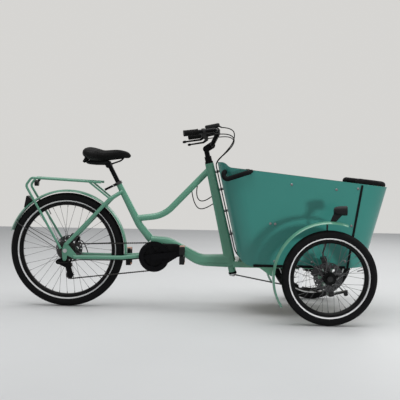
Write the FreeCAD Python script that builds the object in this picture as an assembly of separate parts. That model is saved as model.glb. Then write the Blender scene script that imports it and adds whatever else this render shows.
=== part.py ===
import FreeCAD
import Part
import math
import os

# Cargo tricycle with two steered front wheels, a plywood box between them and a chain-driven rear wheel.
# Millimetres. +X is forward, +Y is the rider's left, +Z is up, and the ground is Z = 0.
# Places along X below are measured from the rear axle; the origin lies on the ground midway along the length.

# Wheels and stance
WHEELBASE = 1497.0
TRACK = 860.0
REAR_SEAT_D = 559.0
REAR_TYRE_W = 58.0
FRONT_SEAT_D = 406.0
FRONT_TYRE_W = 54.0
TYRE_WALL = 3.5
TREAD = 5.0
BEAD_H = 7.0
RIM_W = 30.0
RIM_DEPTH = 15.0
RIM_FLANGE = 6.0
RIM_WALL = 2.0
SPOKES = 36
SPOKE_D = 2.0
SPOKE_RIM_OFFSET = 2.5
NIPPLE_D = 4.2
NIPPLE_L = 11.0
VALVE_D = 6.0
VALVE_L = 34.0
FLANGE_R = 34.0
FLANGE_HOLE_R = 29.0
FLANGE_T = 3.4
BARREL_R = 17.0
REFLECTOR_H = 105.0
REFLECTOR_W = 20.0
REFLECTOR_T = 9.0
REFLECTOR_R = 152.0
ROTOR_R = 80.0
ROTOR_T = 2.0
ROTOR_BORE_R = 21.0
ROTOR_VENT_R = 3.5
ROTOR_VENTS = 20
ROTOR_ARMS = 6
REAR_DRIVE_FLANGE_Y = 22.0
REAR_FREE_FLANGE_Y = 34.0
REAR_ROTOR_Y = 50.0
FRONT_FLANGE_Y = 26.0
FRONT_ROTOR_Y = 40.0
HUB_END = 6.0

# Running and standing clearances
RUN = 0.05
SEAT = 0.3
OVERRUN = 5.0

# Rear axle, stays and dropouts
REAR_AXLE_D = 12.0
AXLE_NUT_R = 12.0
AXLE_NUT_T = 8.0
DROPOUT_Y = 70.0
DROPOUT_T = 7.0
DROPOUT_R = 19.0
STAY_D = 22.0
CHAIN_STAY_D = 24.0
CHAIN_STAY_DROP = 37.0
CHAIN_STAY_BACK_X = 62.0
CHAIN_STAY_WAIST_BACK = 187.0
CHAIN_STAY_WAIST_Y = 51.0
CHAIN_STAY_ROOT_Y = 30.0
SEAT_STAY_FOOT_X = 4.0
SEAT_STAY_FOOT_H = 36.0
SEAT_STAY_KNEE_BACK = 39.0
SEAT_STAY_KNEE_RISE = 307.5
SEAT_STAY_KNEE_Y = 50.0
SEAT_STAY_BEND = 60.0

# Bottom bracket, motor and main tubes
BB_AHEAD = 165.0
BB_Z = 310.0
MOTOR_R = 76.0
MOTOR_NOSE_AHEAD = 123.0
MOTOR_NOSE_Z = 345.0
MOTOR_NOSE_R = 40.0
MOTOR_RIGHT_Y = 37.0
MOTOR_LEFT_Y = 42.0
MOTOR_ROUND = 9.0
MOTOR_COVER_R = 58.0
MOTOR_COVER_T = 3.0
MOUNT_WALL = 12.0
MOUNT_W = 64.0
BEAM_W = 62.0
BEAM_H = 78.0
BEAM_ROUND = 20.0
BEAM_GROOVE = 3.0
BEAM_START_BACK = 22.0
BEAM_START_Z = 404.0
BEAM_KNEE_AHEAD = 78.0
BEAM_KNEE_Z = 396.0
BEAM_DIP_AHEAD = 268.0
BEAM_LEVEL_Z = 289.0
BEAM_BEND = 150.0
SEAT_TUBE_D = 35.0
SEAT_TUBE_FOOT_D = 47.0
SEAT_TUBE_TOP_BACK = 225.0
SEAT_TUBE_TOP_Z = 744.0
SEAT_TUBE_KNEE_BACK = 96.0
SEAT_TUBE_KNEE_Z = 494.0
SEAT_TUBE_BEND = 170.0
POST_D = 27.2
POST_BORE_DEPTH = 230.0
POST_INSERT = 140.0
POST_OUT = 118.0
COLLAR_D = 44.0
COLLAR_H = 17.0
COLLAR_EAR = 13.0
COLLAR_SLOT = 4.0
QR_PIN_D = 6.0
QR_LEVER_L = 58.0
QR_CAM_R = 8.0
QR_CAM_T = 6.5
TOP_TUBE_D = 38.0
TOP_TUBE_KNEE_AHEAD = 50.0
TOP_TUBE_KNEE_Z = 549.0
TOP_TUBE_BEND = 190.0
TOP_TUBE_END_Z = 832.0

# Steering column and kingpins share one lean
STEER_LEAN = 13.0
STEER_X = 966.0
STEER_Z = 300.0
COLUMN_TOP_Z = 862.0
COLUMN_FOOT_Z = 262.0
COLUMN_TOP_DEPTH = 50.0
COLUMN_FOOT_DEPTH = 66.0
COLUMN_TOP_W = 48.0
COLUMN_FOOT_W = 60.0
COLUMN_ROUND = 14.0
COLUMN_BORE_D = 36.0
BOSS_D = 43.0
BOSS_H = 40.0
SHAFT_D = 25.4
CUP_D = 48.0
CUP_H = 11.0
DROP_ARM_L = 90.0
ARM_T = 10.0
ARM_EYE_R = 14.0
ARM_ROOT_R = 21.0
LINK_PIN_D = 8.0
LINK_EYE_R = 12.0
LINK_EYE_T = 16.0
PIN_HEAD_R = 7.0
PIN_HEAD_T = 3.0

# Front axle and knuckles
KING_INSET = 86.0
KING_TUBE_D = 30.0
KING_TUBE_L = 190.0
KING_PIN_D = 18.0
LUG_T = 14.0
LUG_R = 17.0
UPRIGHT_Y = 28.0
UPRIGHT_T = 16.0
UPRIGHT_W = 30.0
STUB_D = 20.0
STUB_NUT_R = 15.0
STUB_NUT_T = 8.0
TIE_ARM_L = 80.0
AXLE_TUBE_D = 36.0
AXLE_POST_Y = 288.0
AXLE_REACH = 74.0
AXLE_BEND = 40.0
CALIPER_L = 58.0
CALIPER_H = 34.0
CALIPER_T = 22.0
CALIPER_SLOT = 4.0
CALIPER_R = 76.0
CALIPER_ANGLE = 155.0
BEARER_W = 40.0
BEARER_H = 34.0
BEARER_Y = 105.0
BEARER_START_AHEAD = 19.0
BEARER_END_AHEAD = 103.0
SADDLE_T = 8.0
HANGER_AHEAD = 212.0
HANGER_L = 84.0
HANGER_DROP = 46.0
HANGER_T = 6.0

# Fenders
REAR_FENDER_GAP = 19.5
FRONT_FENDER_GAP = 48.0
FENDER_W = 66.0
FENDER_CROWN = 11.0
FENDER_T = 1.8
REAR_FENDER_START = -3.0
REAR_FENDER_END = 162.0
FRONT_FENDER_START = 72.0
FRONT_FENDER_END = 212.0
FENDER_WIRE_D = 4.0
FENDER_WIRE_ANGLE = 152.0
FENDER_STAY_D = 10.0
FENDER_STAY_Y = 41.0
BRIDGE_D = 14.0

# Lights
LAMP_R = 26.0
LAMP_L = 70.0
LAMP_RIM = 4.0
LAMP_X = 52.0
LAMP_RISE = 58.0
LAMP_PLATE_T = 5.0
TAIL_ANGLE = 131.0
TAIL_W = 46.0
TAIL_H = 58.0
TAIL_DEPTH = 40.0
TAIL_ROUND = 6.0
DISC_LAMP_R = 18.0
DISC_LAMP_T = 22.0

# Rack
RACK_D = 14.0
RACK_BAR_D = 11.0
RACK_Y = 60.0
RACK_FRONT_X = 206.0
RACK_FRONT_RISE = 46.5
RACK_REAR_X = -205.0
RACK_REAR_RISE = 67.5
RACK_HEEL_X = -238.0
RACK_HEEL_RISE = 21.5
RACK_BEND = 24.0
RACK_STAY_X = 132.0
RACK_BAR_SHARES = (0.1, 0.5, 0.9)
RACK_FOOT_X = -24.0
RACK_FOOT_H = 12.0

# Cargo box
BOX_W = 520.0
WALL = 9.0
BOX_GAP = 18.0
BOX_BOTTOM_Z = 290.0
BOX_REAR_CORNER_R = 120.0
BOX_FRONT_CORNER_R = 165.0
BOX_FRONT_TOP_AHEAD = 360.0
BOX_FRONT_TOP_Z = 742.0
BOX_FRONT_LEAN = 15.0
BOX_SEAM_TOP_AHEAD = 193.0
BOX_SEAM_LEAN = 9.0
BOX_REAR_TOP_Z = 870.0
BOX_LIP = 24.0
BOX_SHOULDER_AHEAD = 9.0
BOX_SHOULDER_Z = 838.0
BOX_HEEL_R = 96.0
EDGING_W = 12.0
EDGING_T = 3.0
BOLT_R = 7.5
BOLT_H = 4.0
SPACER_D = 15.0
SPACER_SHARES = (0.12, 0.42, 0.7, 0.93)
BENCH_Z = 533.0
BENCH_T = 15.0
BENCH_FRONT_AHEAD = 249.0
CUSHION_T = 48.0
CUSHION_EDGE = 10.0
ROLL_D = 46.0
ROLL_RISE = 13.0
ROLL_START_AHEAD = 115.0
HANDLE_D = 27.0
HANDLE_STAND = 24.0
HANDLE_BEND = 26.0
HANDLE_REAR_BACK = 44.0
HANDLE_REAR_Z = 824.0
HANDLE_LOW_Z = 768.0
HANDLE_FRONT_AHEAD = 122.0
HANDLE_FRONT_Z = 812.0
BATTERY_L = 105.0
BATTERY_W = 330.0
BATTERY_H = 150.0
BATTERY_ROUND = 14.0
BATTERY_AHEAD = 134.0

# Stem, bar and controls
STEM_D = 30.0
STEM_HEAD_Z = 946.0
STEM_HEAD_R = 19.0
STEM_W = 36.0
BAR_D = 24.0
BAR_CLAMP_R = 20.0
BAR_BACK = 116.0
BAR_Z = 968.0
BAR_CLAMP_Y = 46.0
BAR_RISE_Y = 118.0
BAR_FRONT_BACK = 78.0
BAR_RISE_Z = 1046.0
BAR_TURN_Y = 236.0
BAR_TURN_BACK = 94.0
BAR_TURN_Z = 1050.0
GRIP_START_BACK = 144.0
GRIP_START_Y = 266.0
GRIP_START_Z = 1040.0
GRIP_END_BACK = 267.0
GRIP_END_Y = 300.0
GRIP_END_Z = 1024.0
GRIP_D = 34.0
GRIP_RIBS = 8
GRIP_RIB = 1.2
BAR_BEND = 42.0
PERCH_BACK = 24.0
PERCH_R = 17.0
PERCH_T = 24.0
LEVER_DROP = 30.0
LEVER_PIN_D = 6.0
LEVER_T = 11.0
LEVER_LUG_R = 8.0
LEVER_REACH = 112.0
LEVER_FALL = 14.0
LEVER_KNEE = 22.0
LEVER_BLADE_R = 5.5
DISPLAY_L = 84.0
DISPLAY_W = 62.0
DISPLAY_T = 22.0
DISPLAY_TILT = 12.0
DISPLAY_ROUND = 7.0

# Drive
CHAIN_PITCH = 12.7
ROLLER_D = 7.75
LINK_GAP = 2.5
PLATE_T = 1.0
PLATE_R = 4.1
PLATE_WAIST = 3.0
PIN_D = 3.4
BUSH_D = 3.7
PLATE_GAP = 0.1
TOOTH_T = 1.8
TOOTH_RISE = 1.2
TOOTH_ROOM = 0.5
CHAIN_Y = 48.0
RING_TEETH = 40
COGS = (12, 14, 16, 18, 21, 24, 28)
ENGAGED_COG = 18
COG_SPACING = 4.95
COG_CORE_R = 15.0
PULLEY_TEETH = 11
GUIDE_X = 12.0
GUIDE_DROP = 87.5
CAGE_L = 60.0
CAGE_PLATE_T = 2.0
CAGE_GAP = 6.0
CAGE_R = 15.0
PULLEY_BOLT_R = 4.0
DERAILLEUR_R = 15.0
DERAILLEUR_BACK_X = -38.0
DERAILLEUR_BACK_DROP = 65.5
HANGER_DROP_Z = 30.0
GUARD_R = 90.0
GUARD_HOLE_R = 62.0
GUARD_T = 3.0
GUARD_Y = 57.0
RING_HOLE_R = 58.0
RING_BOLT_R = 65.0
RING_BOLT_D = 9.0
RING_ARMS = 5
SPIDER_T = 4.0
SPINDLE_D = 20.0
CRANK_L = 170.0
CRANK_T = 13.0
CRANK_ROOT_R = 18.0
CRANK_TIP_R = 13.0
CRANK_Y = 65.0
CRANK_ANGLE = 7.0
PEDAL_PIN_D = 14.0
PEDAL_L = 104.0
PEDAL_W = 92.0
PEDAL_T = 28.0
PEDAL_WALL = 9.0
PEDAL_BARREL_R = 12.0
PEDAL_ROUND = 5.0

# Saddle
SADDLE_TAIL_BACK = 231.0
SADDLE_L = 306.0
SADDLE_TOP_Z = 934.0
SADDLE_W = 206.0
SADDLE_H = 62.0
RAIL_D = 8.0
RAIL_Y = 22.0
RAIL_DROP = 26.0
CLAMP_R = 17.0
CLAMP_W = 60.0

# Cables
CABLE_D = 6.0
GAP_CABLE_Y = 17.0
DISPLAY_CABLE_Y = 10.9
CABLE_TOP_Z = 846.0
HOSE_OUT_BACK = 107.0
HOSE_OUT_Y = 215.0
BAR_ROUTE = ((925.0, 225.0, 1034.0), (985.0, 130.0, 1012.0), (972.0, 40.0, 960.0))
DISPLAY_ROUTE = ((905.0, -170.0, 1066.0), (975.0, -150.0, 1066.0), (985.0, -60.0, 1000.0),
                 (935.0, 5.0, 930.0))
REAR_LOOPS = (((772.0, 0.0, 745.0), (760.0, -4.0, 657.0), (792.0, -6.0, 628.0), (870.0, 0.0, 680.0)),
              ((735.0, 0.0, 705.0), (756.0, 8.0, 598.0), (792.0, 10.0, 575.0), (885.0, 0.0, 640.0)))
# Cable tails at the rear wheel: x, y and height over the axle
SHIFT_TAIL = ((70.0, -72.0, -52.5), (10.0, -100.0, -69.5), (-38.0, -108.0, -65.5), (-38.0, -84.0, -65.5))
BRAKE_TAIL = ((150.0, 67.0, -52.5), (112.0, 94.0, -47.5), (96.0, 94.0, -1.5), (86.0, 58.0, 36.5),
              (61.5, 56.5, 53.5))

REAR_R = REAR_SEAT_D / 2 + REAR_TYRE_W
FRONT_R = FRONT_SEAT_D / 2 + FRONT_TYRE_W

# Places that follow the wheels
REAR_FENDER_R = REAR_R + REAR_FENDER_GAP
FRONT_FENDER_R = FRONT_R + FRONT_FENDER_GAP
RACK_FRONT_Z = REAR_R + REAR_FENDER_R + RACK_FRONT_RISE
RACK_REAR_Z = REAR_R + REAR_FENDER_R + RACK_REAR_RISE
RACK_HEEL_Z = REAR_R + REAR_FENDER_R + RACK_HEEL_RISE
GUIDE_Z = REAR_R - GUIDE_DROP
DERAILLEUR_BACK_Z = REAR_R - DERAILLEUR_BACK_DROP
BB_X = REAR_FENDER_R + BB_AHEAD
MOTOR_NOSE_X = BB_X + MOTOR_NOSE_AHEAD
BEAM_START_X = BB_X - BEAM_START_BACK
BEAM_KNEE_X = BB_X + BEAM_KNEE_AHEAD
BEAM_DIP_X = BB_X + BEAM_DIP_AHEAD
SEAT_TUBE_KNEE_X = BB_X - SEAT_TUBE_KNEE_BACK
SEAT_TUBE_TOP_X = BB_X - SEAT_TUBE_TOP_BACK
TOP_TUBE_KNEE_X = BB_X + TOP_TUBE_KNEE_AHEAD
CHAIN_STAY_WAIST_X = BB_X - CHAIN_STAY_WAIST_BACK
SEAT_STAY_KNEE_X = SEAT_TUBE_TOP_X - SEAT_STAY_KNEE_BACK
SEAT_STAY_KNEE_Z = REAR_R + SEAT_STAY_KNEE_RISE
SADDLE_TAIL_X = SEAT_TUBE_TOP_X - SADDLE_TAIL_BACK
SADDLE_TIP_X = SADDLE_TAIL_X + SADDLE_L
BOX_FRONT_TOP_X = WHEELBASE + BOX_FRONT_TOP_AHEAD
BOX_SEAM_TOP_X = WHEELBASE + BOX_SEAM_TOP_AHEAD
ROLL_START_X = WHEELBASE + ROLL_START_AHEAD
BEARER_END_X = WHEELBASE + BEARER_END_AHEAD
HOSE_OUT_X = WHEELBASE - HOSE_OUT_BACK

# Places that follow the steering column
BEARER_START_X = STEER_X + BEARER_START_AHEAD
HANGER_X = STEER_X + HANGER_AHEAD
BOX_SHOULDER_X = STEER_X + BOX_SHOULDER_AHEAD
BENCH_FRONT_X = STEER_X + BENCH_FRONT_AHEAD
BATTERY_X = STEER_X + BATTERY_AHEAD
HANDLE_REAR_X = STEER_X - HANDLE_REAR_BACK
HANDLE_FRONT_X = STEER_X + HANDLE_FRONT_AHEAD
BAR_X = STEER_X - BAR_BACK
BAR_FRONT_X = STEER_X - BAR_FRONT_BACK
BAR_TURN_X = STEER_X - BAR_TURN_BACK
GRIP_START_X = STEER_X - GRIP_START_BACK
GRIP_END_X = STEER_X - GRIP_END_BACK
REAR_REACH = REAR_FENDER_R * math.cos(math.radians(180 - REAR_FENDER_END))
ORIGIN_X = (BOX_FRONT_TOP_X + EDGING_T - REAR_REACH) / 2
KING_Y = TRACK / 2 - KING_INSET
LEAN = math.radians(STEER_LEAN)
RIGHT = -1
LEFT = 1
ALONG_Y = FreeCAD.Vector(0, 1, 0)
ALONG_Z = FreeCAD.Vector(0, 0, 1)
STEER_AXIS = FreeCAD.Vector(-math.sin(LEAN), 0, math.cos(LEAN))
ACROSS = FreeCAD.Vector(math.cos(LEAN), 0, math.sin(LEAN))


def at(x, y, z):
    """Point at x ahead of the rear axle."""
    return FreeCAD.Vector(x - ORIGIN_X, y, z)


REAR_AXLE = at(0, 0, REAR_R)
BOTTOM_BRACKET = at(BB_X, 0, BB_Z)
STEER_POINT = at(STEER_X, 0, STEER_Z)


def king_point(side, along=0.0, forward=0.0, inward=0.0):
    """Point by a kingpin: along its lean, forward square to it, and inward to the middle."""
    centre = at(WHEELBASE, side * (KING_Y - inward), FRONT_R)
    return centre + STEER_AXIS * along + ACROSS * forward


def steer_point_at(z):
    """Point on the steering axis at height z."""
    return STEER_POINT + STEER_AXIS * ((z - STEER_Z) / math.cos(LEAN))


# Shared shapes
def circle_wire(centre, normal, radius):
    return Part.Wire(Part.Circle(centre, normal, radius).toShape())


def rod(start, end, radius):
    """Round bar between two points."""
    span = end - start
    return Part.makeCylinder(radius, span.Length, start, span)


def ring(start, end, radius, bore):
    """Round sleeve between two points."""
    overrun = (end - start).normalize() * OVERRUN
    return rod(start, end, radius).cut(rod(start - overrun, end + overrun, bore))


def bent_path(points, bend, end_share=0.45):
    """Straight runs joined by tangent arcs of one radius, or less where a run is short.

    An arc takes up to 0.45 of an inner run and up to end_share of the first and last runs."""
    edges = []
    last = points[0]
    for before, corner, after in zip(points, points[1:], points[2:]):
        share_before = end_share if before is points[0] else 0.45
        share_after = end_share if after is points[-1] else 0.45
        back = (before - corner).normalize()
        ahead = (after - corner).normalize()
        half_turn = (math.pi - back.getAngle(ahead)) / 2
        if half_turn < 1e-4:
            continue
        room = min((before - corner).Length * share_before, (after - corner).Length * share_after)
        reach = min(bend * math.tan(half_turn), room)
        radius = reach / math.tan(half_turn)
        first = corner + back * reach
        second = corner + ahead * reach
        bisector = (back + ahead).normalize()
        middle = corner + bisector * (radius / math.cos(half_turn) - radius)
        edges.append(Part.LineSegment(last, first).toShape())
        edges.append(Part.Arc(first, middle, second).toShape())
        last = second
    edges.append(Part.LineSegment(last, points[-1]).toShape())
    return Part.Wire(edges)


def swept(path, profiles):
    """Solid of one or more profiles along a path."""
    return path.makePipeShell(profiles, True, False)


def tube(points, bend, diameter, end_share=0.45):
    """Round bar bent through points."""
    path = bent_path(points, bend, end_share)
    return swept(path, [circle_wire(points[0], points[1] - points[0], diameter / 2)])


def rounded_rectangle(centre, across, up, width, height, corner):
    """Closed outline in the plane of two unit vectors."""
    edges = []
    last = None
    first = None
    for sx, sy in ((-1, -1), (1, -1), (1, 1), (-1, 1)):
        tip = centre + across * (sx * width / 2) + up * (sy * height / 2)
        hub = tip - across * (sx * corner) - up * (sy * corner)
        ends = [hub + across * (sx * corner), hub + up * (sy * corner)]
        if sx * sy > 0:
            start, end = ends
        else:
            end, start = ends
        middle = hub + (across * sx + up * sy).normalize() * corner
        if last is not None:
            edges.append(Part.LineSegment(last, start).toShape())
        else:
            first = start
        edges.append(Part.Arc(start, middle, end).toShape())
        last = end
    edges.append(Part.LineSegment(last, first).toShape())
    return Part.Wire(edges)


def hull_wire(circles, place):
    """Tangent outline round circles (u, v, radius) listed counter-clockwise; place maps (u, v) to a point."""
    normals = []
    count = len(circles)
    for i in range(count):
        u1, v1, r1 = circles[i]
        u2, v2, r2 = circles[(i + 1) % count]
        heading = math.atan2(v2 - v1, u2 - u1)
        span = math.hypot(u2 - u1, v2 - v1)
        normals.append(heading - math.acos((r1 - r2) / span))
    edges = []
    for i in range(count):
        u, v, radius = circles[i]
        un, vn, next_radius = circles[(i + 1) % count]
        arrive = normals[i - 1]
        turn = (normals[i] - arrive) % (2 * math.pi)
        arc = [place(u + radius * math.cos(arrive + turn * share),
                     v + radius * math.sin(arrive + turn * share))
               for share in (0, 0.5, 1)]
        edges.append(Part.Arc(*arc).toShape())
        ahead = place(un + next_radius * math.cos(normals[i]), vn + next_radius * math.sin(normals[i]))
        edges.append(Part.LineSegment(arc[2], ahead).toShape())
    return Part.Wire(edges)


def side_plate(circles, y_start, y_end):
    """Plate lying in X and Z with a tangent outline round circles (x, z, radius)."""
    wire = hull_wire(circles, lambda u, v: at(u, y_start, v))
    return Part.Face(wire).extrude(FreeCAD.Vector(0, y_end - y_start, 0))


def lean_plate(origin, circles, bottom, top):
    """Plate square to the steering lean, its outline round circles (forward, left, radius) about a point."""
    wire = hull_wire(circles, lambda u, v: origin + ACROSS * u + ALONG_Y * v + STEER_AXIS * bottom)
    return Part.Face(wire).extrude(STEER_AXIS * (top - bottom))


def turned(profile, centre, axis):
    """Ring turned from (radius, along) points about an axis through a centre."""
    points = [FreeCAD.Vector(radius, along, 0) for radius, along in profile]
    face = Part.Face(Part.makePolygon(points + points[:1]))
    solid = face.revolve(FreeCAD.Vector(0, 0, 0), ALONG_Y, 360)
    solid.Placement = FreeCAD.Placement(centre, FreeCAD.Rotation(ALONG_Y, axis))
    return solid


def fused(shapes):
    return shapes[0].multiFuse(shapes[1:]).removeSplitter()


def group(shapes):
    return Part.makeCompound(shapes)


# Wheels
def tyre(centre, seat_d, width):
    """Hollow tyre: beads on the rim seat, round sidewalls, thicker tread."""
    seat = seat_d / 2
    half = RIM_W / 2 - RIM_WALL - SEAT
    wide = width / 2
    bulge = seat + BEAD_H + (width - BEAD_H) * 0.5
    crown = seat + width

    def contour(inset, tread_inset):
        foot = half - inset
        side = wide - inset
        points = [(seat + SEAT, foot), (seat + BEAD_H, foot), (bulge, side), (crown - tread_inset, 0),
                  (bulge, -side), (seat + BEAD_H, -foot), (seat + SEAT, -foot)]
        return [FreeCAD.Vector(radius, along, 0) for radius, along in points]

    outer = contour(0.0, 0.0)
    inner = contour(TYRE_WALL, TREAD)

    def run(points):
        edges = [Part.LineSegment(points[0], points[1]).toShape()]
        low = (points[1] + points[2]) * 0.5 + FreeCAD.Vector(0, (points[2].y - points[1].y) * 0.22, 0)
        edges.append(Part.Arc(points[1], low, points[2]).toShape())
        rise = points[3].x - points[2].x
        lean = math.sqrt(0.5)
        up = FreeCAD.Vector(points[2].x + rise * lean, points[2].y * lean, 0)
        edges.append(Part.Arc(points[2], up, points[3]).toShape())
        return edges

    def whole(points):
        first = run(points[:4])
        second = [edge.mirror(FreeCAD.Vector(0, 0, 0), ALONG_Y) for edge in first]
        return first + second

    edges = whole(outer) + whole(inner)
    edges.append(Part.LineSegment(outer[0], inner[0]).toShape())
    edges.append(Part.LineSegment(outer[-1], inner[-1]).toShape())
    section = Part.Face(Part.Wire(Part.__sortEdges__(edges)))
    solid = section.revolve(FreeCAD.Vector(0, 0, 0), ALONG_Y, 360)
    solid.translate(centre)
    return solid


def rim(centre, seat_d):
    """Box-section rim with two hooks for the beads."""
    seat = seat_d / 2
    half = RIM_W / 2
    inner = seat - RIM_DEPTH
    profile = [(inner, -half * 0.5), (inner, half * 0.5), (seat - RIM_DEPTH * 0.5, half),
               (seat + RIM_FLANGE, half),
               (seat + RIM_FLANGE, half - RIM_WALL), (seat, half - RIM_WALL), (seat, -half + RIM_WALL),
               (seat + RIM_FLANGE, -half + RIM_WALL), (seat + RIM_FLANGE, -half),
               (seat - RIM_DEPTH * 0.5, -half)]
    return turned(profile, centre, ALONG_Y)


def spokes(centre, seat_d, flanges):
    """Three-cross lacing: each spoke runs from beside its flange to the rim."""
    rim_r = seat_d / 2 - RIM_DEPTH - SEAT
    step = 360.0 / SPOKES
    made = []
    for flange_index, flange_y in enumerate(flanges):
        outward = math.copysign(1, flange_y)
        beside = FLANGE_T / 2 + SPOKE_D / 2 + RUN
        for index in range(SPOKES // 2):
            leading = index % 2 == 0
            sign = 1 if leading else -1
            hub_angle = math.radians((2 * index + flange_index) * step)
            rim_angle = hub_angle + sign * math.radians(6 * step)
            hub_y = flange_y + outward * (beside if leading else -beside)
            rim_y = outward * SPOKE_RIM_OFFSET
            start = centre + FreeCAD.Vector(FLANGE_HOLE_R * math.cos(hub_angle), hub_y,
                                            FLANGE_HOLE_R * math.sin(hub_angle))
            end = centre + FreeCAD.Vector(rim_r * math.cos(rim_angle), rim_y, rim_r * math.sin(rim_angle))
            length = (end - start).Length
            profile = [(0, 0), (SPOKE_D / 2, 0), (SPOKE_D / 2, length - NIPPLE_L),
                       (NIPPLE_D / 2, length - NIPPLE_L),
                       (NIPPLE_D / 2, length - NIPPLE_D / 4), (SPOKE_D / 2, length), (0, length)]
            made.append(turned(profile, start, end - start))
    return made


def rotor(centre, y):
    """Brake disc with spoke-like arms and vent holes."""
    start = centre + FreeCAD.Vector(0, y - ROTOR_T / 2, 0)
    disc = ring(start, start + ALONG_Y * ROTOR_T, ROTOR_R, ROTOR_BORE_R)
    tools = []
    low = start - ALONG_Y * OVERRUN
    high = start + ALONG_Y * (ROTOR_T + OVERRUN)
    track = ROTOR_R - ROTOR_VENT_R * 2.4
    for index in range(ROTOR_VENTS):
        angle = 2 * math.pi * index / ROTOR_VENTS
        offset = FreeCAD.Vector(track * math.cos(angle), 0, track * math.sin(angle))
        tools.append(rod(low + offset, high + offset, ROTOR_VENT_R))
    window = (ROTOR_R - ROTOR_BORE_R) * 0.2
    window_at = ROTOR_BORE_R + (ROTOR_R - ROTOR_BORE_R) * 0.42
    for index in range(ROTOR_ARMS):
        angle = 2 * math.pi * index / ROTOR_ARMS
        offset = FreeCAD.Vector(window_at * math.cos(angle), 0, window_at * math.sin(angle))
        tools.append(rod(low + offset, high + offset, window))
    return disc.cut(group(tools))


def hub(centre, flanges, ends, bore_r):
    """Turned hub shell with two spoke flanges."""
    low, high = sorted(flanges)
    half = FLANGE_T / 2
    start, end = sorted(ends)
    neck = (BARREL_R + bore_r) / 2
    profile = [(bore_r, start), (neck, start), (neck, low - half - FLANGE_T),
               (BARREL_R, low - half - FLANGE_T),
               (BARREL_R, low - half), (FLANGE_R, low - half), (FLANGE_R, low + half),
               (BARREL_R, low + half * 3),
               (BARREL_R, high - half * 3), (FLANGE_R, high - half), (FLANGE_R, high + half),
               (BARREL_R, high + half),
               (BARREL_R, high + half + FLANGE_T), (neck, high + half + FLANGE_T), (neck, end),
               (bore_r, end)]
    return turned(profile, centre, ALONG_Y)


def valve(centre, seat_d, degrees):
    angle = math.radians(degrees)
    spoke_way = FreeCAD.Vector(math.cos(angle), 0, math.sin(angle))
    top = seat_d / 2 - RIM_DEPTH - SEAT
    return rod(centre + spoke_way * (top - VALVE_L), centre + spoke_way * top, VALVE_D / 2)


def rotor_carrier(centre, rotor_y, flange_y):
    """Sleeve between the hub barrel and the disc."""
    way = math.copysign(1, rotor_y)
    start = centre + ALONG_Y * (flange_y + way * FLANGE_T * 1.5)
    end = centre + ALONG_Y * (rotor_y - way * ROTOR_T / 2)
    neck = (BARREL_R + STUB_D / 2 + RUN) / 2
    return ring(start, end, ROTOR_BORE_R + OVERRUN, neck + RUN)


def spoke_reflector(centre):
    """Plate held between the spokes behind the hub."""
    middle = centre - FreeCAD.Vector(REFLECTOR_R, 0, 0)
    outline = rounded_rectangle(middle - ALONG_Y * (REFLECTOR_T / 2), FreeCAD.Vector(1, 0, 0), ALONG_Z,
                                REFLECTOR_W, REFLECTOR_H, REFLECTOR_W / 3)
    return Part.Face(outline).extrude(ALONG_Y * REFLECTOR_T)


def front_centre(side):
    return at(WHEELBASE, side * TRACK / 2, FRONT_R)


def front_wheel(side):
    centre = front_centre(side)
    inboard = -side
    flanges = (inboard * FRONT_FLANGE_Y, -inboard * FRONT_FLANGE_Y)
    ends = (inboard * (FRONT_ROTOR_Y + ROTOR_T), -inboard * (FRONT_FLANGE_Y + HUB_END * 2))
    pieces = [rim(centre, FRONT_SEAT_D), hub(centre, flanges, ends, STUB_D / 2 + RUN)]
    pieces.append(rotor(centre, inboard * FRONT_ROTOR_Y))
    pieces.append(rotor_carrier(centre, inboard * FRONT_ROTOR_Y, inboard * FRONT_FLANGE_Y))
    pieces.append(valve(centre, FRONT_SEAT_D, 15))
    pieces.append(spoke_reflector(centre))
    return group(pieces + spokes(centre, FRONT_SEAT_D, flanges))


def rear_wheel():
    flanges = (-REAR_DRIVE_FLANGE_Y, REAR_FREE_FLANGE_Y)
    ends = (-REAR_DRIVE_FLANGE_Y - HUB_END, REAR_ROTOR_Y + HUB_END)
    pieces = [rim(REAR_AXLE, REAR_SEAT_D), hub(REAR_AXLE, flanges, ends, REAR_AXLE_D / 2 + RUN)]
    pieces.append(rotor(REAR_AXLE, REAR_ROTOR_Y))
    pieces.append(rotor_carrier(REAR_AXLE, REAR_ROTOR_Y, REAR_FREE_FLANGE_Y))
    pieces.append(valve(REAR_AXLE, REAR_SEAT_D, 116))
    return group(pieces + spokes(REAR_AXLE, REAR_SEAT_D, flanges))


# Rear frame
def dropout(side):
    """Plate joining the axle and the two stays."""
    inner = side * DROPOUT_Y
    outer = side * (DROPOUT_Y + DROPOUT_T)
    circles = [(0, REAR_R, DROPOUT_R), (CHAIN_STAY_BACK_X, REAR_R - CHAIN_STAY_DROP, CHAIN_STAY_D / 2),
               (SEAT_STAY_FOOT_X, REAR_R + SEAT_STAY_FOOT_H, STAY_D / 2)]
    plate = side_plate(circles, inner, outer)
    if side == RIGHT:
        tab = side_plate([(0, REAR_R, DROPOUT_R),
                          (GUIDE_X - CAGE_R, REAR_R - HANGER_DROP_Z - DROPOUT_R, DROPOUT_R * 0.6)],
                         inner, outer)
        plate = plate.fuse(tab)
    hole = rod(REAR_AXLE - ALONG_Y * DROPOUT_Y * 2, REAR_AXLE + ALONG_Y * DROPOUT_Y * 2,
               REAR_AXLE_D / 2 + RUN)
    return plate.cut(hole)


def chain_stay_path(side):
    z = REAR_R - CHAIN_STAY_DROP
    y = side * (DROPOUT_Y + DROPOUT_T / 2)
    root = at(BB_X - MOTOR_R - MOUNT_WALL, side * CHAIN_STAY_ROOT_Y, BB_Z)
    return [at(CHAIN_STAY_BACK_X - CHAIN_STAY_D / 2, y, z),
            at(CHAIN_STAY_WAIST_X, side * CHAIN_STAY_WAIST_Y, z), root]


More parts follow.
